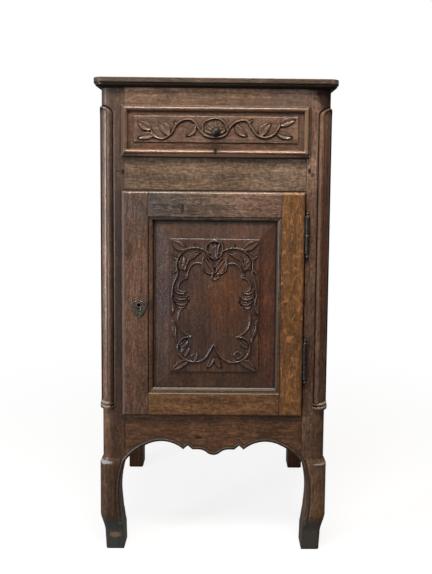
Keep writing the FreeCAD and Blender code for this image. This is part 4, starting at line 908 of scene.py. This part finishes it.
def within(across, up, outline):
    """True inside a closed outline."""
    inside = np.zeros(across.shape, bool)
    for (x0, z0), (x1, z1) in zip(outline, np.roll(outline, -1, axis=0)):
        if z0 == z1:
            continue
        crosses = (z0 > up) != (z1 > up)
        inside ^= crosses & (across < (x1 - x0) * (up - z0) / (z1 - z0) + x0)
    return inside


def tool_marks(across, up):
    """Faint hollows that the gouge leaves on the ground."""
    wave = np.sin(across * 0.9 + 1.7 * np.sin(up * 0.31)) * np.sin(up * 0.8 + 1.3 * np.sin(across * 0.27))
    return GOUGE_DEEP * wave


print("cuts ready")

# %% [markdown]
# Laying the grid is always the same: add it with fine steps, stand it up in front of the field, raise its
# points, let it slope down just inside the edge of the field, then pull its rim back into the board so that
# the carving and the board are one. The slope along the top of a field is what catches the light.

# %% Define how a field is carved
RIM_BACK = 0.8
GROUND_UP = 0.15
CARVED_ANGLE = math.radians(50)


def lay_grid(name, columns, rows):
    """Flat grid, with the places of its points from -0.5 to 0.5 along and across."""
    bpy.ops.object.select_all(action="DESELECT")
    bpy.ops.mesh.primitive_grid_add(x_subdivisions=columns, y_subdivisions=rows, size=1)
    piece = bpy.context.object
    piece.name = name
    places = np.zeros(len(piece.data.vertices) * 3)
    piece.data.vertices.foreach_get("co", places)
    places = places.reshape(-1, 3)
    return piece, places[:, 0], places[:, 1]


def move_points(piece, across, depth, up):
    places = np.stack([across, depth, up], axis=1) * MM
    piece.data.vertices.foreach_set("co", places.ravel())


def carve_field(name, body, low, high, face, step, relief, material, fall, lift=0.0):
    """Carved face over a field that runs from low to high, each across and up, at depth face. Fall is the
    width of its sloping edge at the sides, at top and bottom, and how far it drops. A width of 0 leaves an
    upright wall. Lift raises the ground before the field."""
    wide = high[0] - low[0]
    tall = high[1] - low[1]
    carving, across, up = lay_grid(name, round(wide / step), round(tall / step))
    across = across * wide
    up = up * tall
    share = (np.abs(up) - tall / 2) / fall[1] + 1
    if fall[0]:
        share = np.maximum(share, (np.abs(across) - wide / 2) / fall[0] + 1)
    share = np.clip(share, 0, None)
    cut = np.where(share > 0, 0, np.clip(relief(across, up), 0, None))
    raised = cut + GROUND_UP + lift - fall[2] * share
    middle = (np.array(low) + np.array(high)) / 2
    move_points(carving, middle[0] + across, face - raised, middle[1] + up)
    pull = (0, (RIM_BACK + GROUND_UP + lift) * MM, 0)
    bpy.ops.object.mode_set(mode="EDIT")
    bpy.ops.mesh.select_mode(type="EDGE")
    bpy.ops.mesh.select_all(action="DESELECT")
    bpy.ops.mesh.select_non_manifold()
    bpy.ops.mesh.extrude_region_move(TRANSFORM_OT_translate={"value": pull})
    bpy.ops.mesh.edge_face_add()
    bpy.ops.mesh.select_all(action="SELECT")
    bpy.ops.mesh.normals_make_consistent(inside=False)
    bpy.ops.object.mode_set(mode="OBJECT")
    bpy.ops.object.shade_smooth_by_angle(angle=CARVED_ANGLE)
    dress(carving, material)
    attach(carving, body)
    print(name, "points:", len(carving.data.vertices), "highest cut:", round(raised.max(), 2), "mm")


print("field carving ready, rim goes back", RIM_BACK, "mm")

# %% [markdown]
# The drawer's vine rises and falls four times. It starts and ends in a pair of leaves, a leaf fills every
# hollow of the wave, two thorns stand on the crests, and a half flower opens over the knob.

# %% Carve the drawer
DRAWER_STEP = 0.75
DRAWER_FACE = -202.8
DRAWER_FALL = (0.7, 2.0, 1.8)
WAVE_STEM = (5.8, 5.8, 4.0)
FLOWER_STEM = (4.4, 4.4, 3.2)
SHOOT_STEM = (4.6, 3.6, 3.0)
FLOWER_MIDDLE = (-1, -8)
PETAL_WIDE, PETAL_HIGH = 13, 2.4
DRAWER_LEAF_WIDE, DRAWER_LEAF_HIGH = 1.25, 3.8
drawer_low = (-187.5, 974.5)
drawer_high = (187.5, 1036.5)
vine = [(-147, -9), (-140, -17), (-120, -22), (-103, -11), (-88, 11), (-75, 20), (-59, 21.5), (-46, 14),
        (-37, -1), (-26, -13), (-1, -18.5), (20, -13), (29, 0), (40, 13), (56, 20.5), (71, 19), (81, 5),
        (92, -11), (111, -17.5), (130, -11), (140, 1), (145, 9)]
side_shoots = [[(-132, -20), (-144, -9), (-149, 1)], [(138, -2), (134, -8), (128, -12)]]
drawer_leaves = [
    ((-147, -1), (-177, 18), 16, 2), ((-141, -14), (-178, -21), 15, -2), ((-107, -13), (-129, 14), 18, -3),
    ((-47, 12), (-69, -16), 14, 4), ((45, 11), (71, -15), 15, -4), ((99, -14), (126, 16), 17, 3),
    ((147, 11), (180, 23), 16, 2), ((137, -7), (175, -16), 12, -2),
]
thorns = [((-85, 11), (-96, 19), 6, 0), ((75, 16), (83, 25), 6, 0)]
petals = [(-27, -1), (-22, 13), (-2, 21), (16, 15), (23, 0)]
flower_edge = [(-31, -6), (-29, 12), (-18, 21), (-3, 24.5), (11, 21.5), (22, 12), (26, -3)]


def drawer_relief(across, up):
    across = across + 0.6 * np.sin(up * 0.17)
    cuts = [stem(across, up, vine, *WAVE_STEM), stem(across, up, flower_edge, *FLOWER_STEM)]
    cuts += [stem(across, up, shoot, *SHOOT_STEM) for shoot in side_shoots]
    for base, tip, wide, bend in drawer_leaves + thorns:
        cuts.append(leaf(across, up, base, tip, DRAWER_LEAF_WIDE * wide, DRAWER_LEAF_HIGH, bend))
    cuts += [leaf(across, up, FLOWER_MIDDLE, tip, PETAL_WIDE, PETAL_HIGH) for tip in petals]
    return np.maximum.reduce(cuts) + tool_marks(across, up)


drawer_oak = old_oak("oak_drawer_carving", FIELD_OAK, "x", seeds["drawer_front"], CARVED_SOFT, polish=0.2,
                     grime=1.4, figure=0.85)
carve_field("drawer_carving", "drawer", drawer_low, drawer_high, DRAWER_FACE, DRAWER_STEP,
            drawer_relief, drawer_oak, DRAWER_FALL)

# %% [markdown]
# The door's carving is the same left and right, so only the left half is drawn, and the right half reads
# the same cuts at the mirrored place. A slow wobble moves the places a little first, because no carver
# repeats a line exactly. A raised rim runs round the plain middle, softer below the shells, and the middle
# stands a little over the ground.

# %% Draw the door's carving
rim_lines = [
    [(-27, 96), (-33, 99.5), (-41, 100), (-50, 97), (-58, 87), (-64, 72)],
    [(-63, 66), (-71, 63), (-79, 56), (-83.5, 45), (-82, 36)],
    [(-66, -3), (-74, -6.5), (-80, -14), (-83, -25), (-83, -38), (-80, -50), (-73, -61), (-63, -69),
     (-54, -74)],
    [(-54, -74), (-63, -74.5), (-75, -79.5), (-82, -89), (-84, -101), (-81, -114), (-72, -124.5),
     (-60, -131), (-46, -133), (-33, -131), (-20, -123), (-10, -109), (-3, -95), (0, -90)],
]
shell_lobes = [((-94, 43), (-63, 33), 9, -7), ((-95, 29), (-56, 24), 10, -9),
               ((-92, 13), (-55, 15), 9.5, -9), ((-88, 1), (-63, 3), 7, -5)]
vine_lines = [
    [(-12, 124), (-24, 131), (-37, 134.5), (-52, 134.5), (-68, 131)],
    [(-54, 133.5), (-68, 128), (-80, 118), (-87, 104), (-88, 90), (-86, 77), (-90, 64), (-95, 50),
     (-97, 36)],
    [(-97, 36), (-98, 20), (-95, 5), (-97, -14)],
    [(-45, 121), (-58, 110), (-65, 96), (-69, 82)],
    [(-97, -36), (-95, -55), (-90, -74), (-86, -86)],
]
door_leaves = [
    ((-66, 131), (-101, 154), 18, 2), ((-60, 107), (-31, 126), 12, 3), ((-67, 83), (-84, 104), 14, -2),
    ((-88, 88), (-100, 77), 7, 1), ((-95, 5), (-98, -22), 8, -1), ((-90, -74), (-93, -38), 10, 2),
    ((-79, -97), (-61, -80), 15, -2), ((-69, -119), (-56, -97), 16, 2), ((-60, -130), (-98, -153), 17, -2),
    ((-3, -116), (-18, -146), 11, 3), ((-4, 78), (-25, 112), 19, 2), ((-32, 134), (-48, 145), 7, 1),
    ((-48, -131), (-38, -112), 15, 2), ((-86, 110), (-98, 122), 8, 1), ((-73, 117), (-82, 82), 14, 2),
    ((-2, 112), (-12, 150), 14, -3), ((0, 112), (0, 152), 9, 0),
]
bud_lines = [
    [(-2, 111), (-13, 118), (-19, 130), (-17, 143), (-8, 151), (0, 153)],
    [(-27, 112), (-28, 97), (-25.5, 85), (-16, 78), (-4, 76)],
    [(-2, 80), (-14, 96), (-25, 113)],
    [(0, 92), (-8, 102), (-15, 113)],
    [(-6, 75), (-7.5, 69), (-4.5, 64.5), (0, 63)],
]
shell_edge = [(-70, 28), (-60, 20), (-58, 8), (-64, -1)]
middle_edge = [(2, -90), (2, 65), (-26, 80)]
print("rim lines:", len(rim_lines), "leaves:", len(door_leaves))

# %% Carve the door
DOOR_STEP = 0.86
DOOR_FACE = -201.0
DOOR_FALL = (0.0, 2.2, 1.2)
RIM_WIDE = (5.2, 5.2, 6.4, 5.2)
RIM_HIGH = (3.8, 3.8, 2.4, 3.6)
VINE_STEM = (5.0, 4.4, 3.4)
BUD_STEM = (4.8, 4.2, 4.0)
DOOR_LEAF_WIDE, DOOR_LEAF_HIGH = 1.12, 4.0
RIM_TAPER = 0.9
RIM_KNOP = ((-64.5, 70), 4.6, 3.6)
SCROLL_EYE = ((56, -117), 8.0, 4.4, 3.2)
SCROLL_POINTS = 50
MIDDLE_UP = 0.9
SMOOTHED_OVER = 0.5
SMOOTHED = 0.3
door_low = (-103.5, 442.5)
door_high = (103.0, 756.5)


def door_relief(across, up):
    wobble_x = 0.9 * np.sin(up * 0.055 + 0.6) + 0.5 * np.sin(up * 0.16)
    wobble_z = 1.1 * np.sin(across * 0.05 + 1.1)
    left = -np.abs(across + wobble_x)
    up = up + wobble_z
    rims = [flowing(rim) for rim in rim_lines]
    outline = np.vstack([rims[0], rims[1], shell_edge, rims[2], rims[3][SCROLL_POINTS:], middle_edge])
    cuts = [np.where(within(left, up, outline), MIDDLE_UP, 0.0)]
    for line, wide, high in zip(rim_lines, RIM_WIDE, RIM_HIGH):
        cuts.append(stem(left, up, line, wide, RIM_TAPER * wide, high))
    cuts += [stem(left, up, line, *VINE_STEM) for line in vine_lines]
    cuts += [stem(left, up, line, *BUD_STEM) for line in bud_lines]
    for base, tip, wide, bend in door_leaves + shell_lobes:
        cuts.append(leaf(left, up, base, tip, DOOR_LEAF_WIDE * wide, DOOR_LEAF_HIGH, bend))
    cuts += [knop(left, up, *RIM_KNOP), eyelet(across, up, *SCROLL_EYE)]
    cut = np.maximum.reduce(cuts)
    return cut + np.where(cut > SMOOTHED_OVER, SMOOTHED, 1.0) * tool_marks(across, up)


panel_oak = old_oak("oak_door_carving", PANEL_OAK, "z", seeds["door_panel"], CARVED_SOFT,
                    blooms=panel_blooms, figure=0.8, grime=0.85, wax=COOL_WAX)
carve_field("door_carving", "door", door_low, door_high, DOOR_FACE, DOOR_STEP, door_relief,
            panel_oak, DOOR_FALL, DOOR_FALL[2])

# %% [markdown]
# ## Bead along the apron and the legs
# A carved bead follows the scalloped edge from foot to foot, with a dark line on each side, painted shade
# where a sunk line would be. Its path is the same row of arcs and lines that the apron is sawn to. Half of
# it is drawn and mirrored. A curve with a round bevel would float over the legs, so a grid is laid along
# the path: one direction of the grid is the way along the edge, the other is the profile.

# %% Draw the edge of the apron and the leg
LEG_HEIGHTS = [222.0, 216.0, 194.4, 168.5, 129.6, 88.6, 74.5, 64.0]
LEG_INSIDES = [210.0, 212.5, 218.0, 222.5, 223.5, 220.5, 218.5, 217.4]
BEAD_STEP = 1.6


def arc(start, via, end, cuts=14):
    """Points of the arc through three places."""
    (ax, az), (bx, bz), (cx, cz) = start, via, end
    cross = 2 * (ax * (bz - cz) + bx * (cz - az) + cx * (az - bz))
    a2, b2, c2 = ax * ax + az * az, bx * bx + bz * bz, cx * cx + cz * cz
    x = (a2 * (bz - cz) + b2 * (cz - az) + c2 * (az - bz)) / cross
    z = (a2 * (cx - bx) + b2 * (ax - cx) + c2 * (bx - ax)) / cross
    first = math.atan2(az - z, ax - x)
    sweep = (math.atan2(cz - z, cx - x) - first + math.pi) % (2 * math.pi) - math.pi
    angles = first + sweep * np.linspace(0, 1, cuts)
    radius = math.hypot(ax - x, az - z)
    return np.stack([x + radius * np.cos(angles), z + radius * np.sin(angles)], axis=1)


def straight(start, end, cuts=6):
    return np.linspace(start, end, cuts)


pendant = arc((-15.6, 243.8), (0, 238), (15.6, 243.8))[7:]
flank = arc((15.6, 243.8), (25.3, 249.5), (36.3, 251.5))
notch = [straight((36.3, 251.5), (50, 251.5)), straight((50, 251.5), (61, 261)),
         straight((61, 261), (72, 251.5))]
arch = [arc((72, 251.5), (121, 271), (160, 262), 40), arc((160, 262), (187, 245.5), (210, 222), 30)]
leg = flowing(list(zip(LEG_INSIDES, LEG_HEIGHTS)), 14)
half_edge = np.vstack([pendant, flank, *notch, *arch, leg])
edge = np.vstack([half_edge[::-1] * (-1, 1), half_edge])
steps = np.hypot(*np.diff(edge, axis=0).T)
edge = edge[np.concatenate([[True], steps > HAIR])]
way = np.concatenate([[0], np.cumsum(np.hypot(*np.diff(edge, axis=0).T))])
stations = np.linspace(0, way[-1], round(way[-1] / BEAD_STEP))
edge = np.stack([np.interp(stations, way, edge[:, 0]), np.interp(stations, way, edge[:, 1])], axis=1)
print("edge:", len(edge), "places,", round(way[-1]), "mm")

# %% [markdown]
# The profile is a row of points, each a distance in from the edge and a height over the face: a flat, the
# round of the bead, and a flat again. On the legs the face itself swells forward, so the grid leans with
# it. The flats are not sunk: they carry an attribute that the finish reads to darken them with painted
# shade. A Solidify modifier then gives the strip its thickness.

# %% Carve the bead
POST_FACE = -192.5
LEG_OUT_HEIGHTS = [64.0, 74.5, 88.6, 216.0, 229.0]
LEG_OUT = [0.0, 2.5, 6.0, 6.0, 0.0]
SWELL_FULL = 235.0
# Flats beside the bead that get painted shade, as if they were sunk.
SHADED_FLATS = [1, 1, 0, 0, 0, 0, 0, 1, 1]
GROOVE_SHADE_DARKNESS = 0.8
SHELL = 0.7
FADE = 20.0
FADE_LEAST = 0.1
BEAD_SEED = 77
profile = [(0.4, 0.2), (2.6, 0.25), (3.0, 0.7), (3.7, 1.2), (4.6, 1.4), (5.5, 1.2), (6.2, 0.7),
           (6.6, 0.25), (9.8, 0.2)]

heading = np.gradient(edge, axis=0)
heading = heading / np.hypot(heading[:, 0], heading[:, 1])[:, None]
inward = np.stack([-heading[:, 1], heading[:, 0]], axis=1)
lean = np.interp(edge[:, 1], LEG_OUT_HEIGHTS, LEG_OUT) / (SWELL_FULL - np.abs(edge[:, 0]))
lean = np.where(np.abs(edge[:, 0]) > POST_LINE - 1, lean, 0.0)
fade = np.clip(np.minimum(stations, way[-1] - stations) / FADE, FADE_LEAST, 1)

bead, along, across = lay_grid("edge_bead", len(edge) - 1, len(profile) - 1)
at = np.rint((along + 0.5) * (len(edge) - 1)).astype(int)
rung = np.rint((across + 0.5) * (len(profile) - 1)).astype(int)
inside, raised = np.array(profile)[rung].T
ground = edge[at] + inward[at] * inside[:, None]
depth = POST_FACE - raised * fade[at] - lean[at] * inside
move_points(bead, ground[:, 0], depth, ground[:, 1])
# Attribute that tells the finish where to paint shade.
sunk = bead.data.attributes.new("sunk", "FLOAT", "POINT")
sunk.data.foreach_set("value", np.array(SHADED_FLATS, float)[rung] * GROOVE_SHADE_DARKNESS)
bpy.ops.object.modifier_add(type="SOLIDIFY")
bead.modifiers[0].thickness = SHELL * MM
bead.modifiers[0].offset = -1
bpy.ops.object.mode_set(mode="EDIT")
bpy.ops.mesh.select_all(action="SELECT")
bpy.ops.mesh.normals_make_consistent(inside=False)
bpy.ops.object.mode_set(mode="OBJECT")
facing = sum(polygon.normal.y for polygon in bead.data.polygons)
if facing > 0:
    bead.data.flip_normals()
bpy.ops.object.modifier_apply(modifier=bead.modifiers[0].name)
bpy.ops.object.shade_smooth_by_angle(angle=CARVED_ANGLE)
bead_oak = old_oak("oak_edge_bead", shade(DARK_OAK, 1.1), "x", BEAD_SEED, CARVED_SOFT, dim=0.4, polish=0.5,
                   quirk="sunk")
dress(bead, bead_oak)
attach(bead, "case")
print("bead faces:", len(bead.data.polygons))
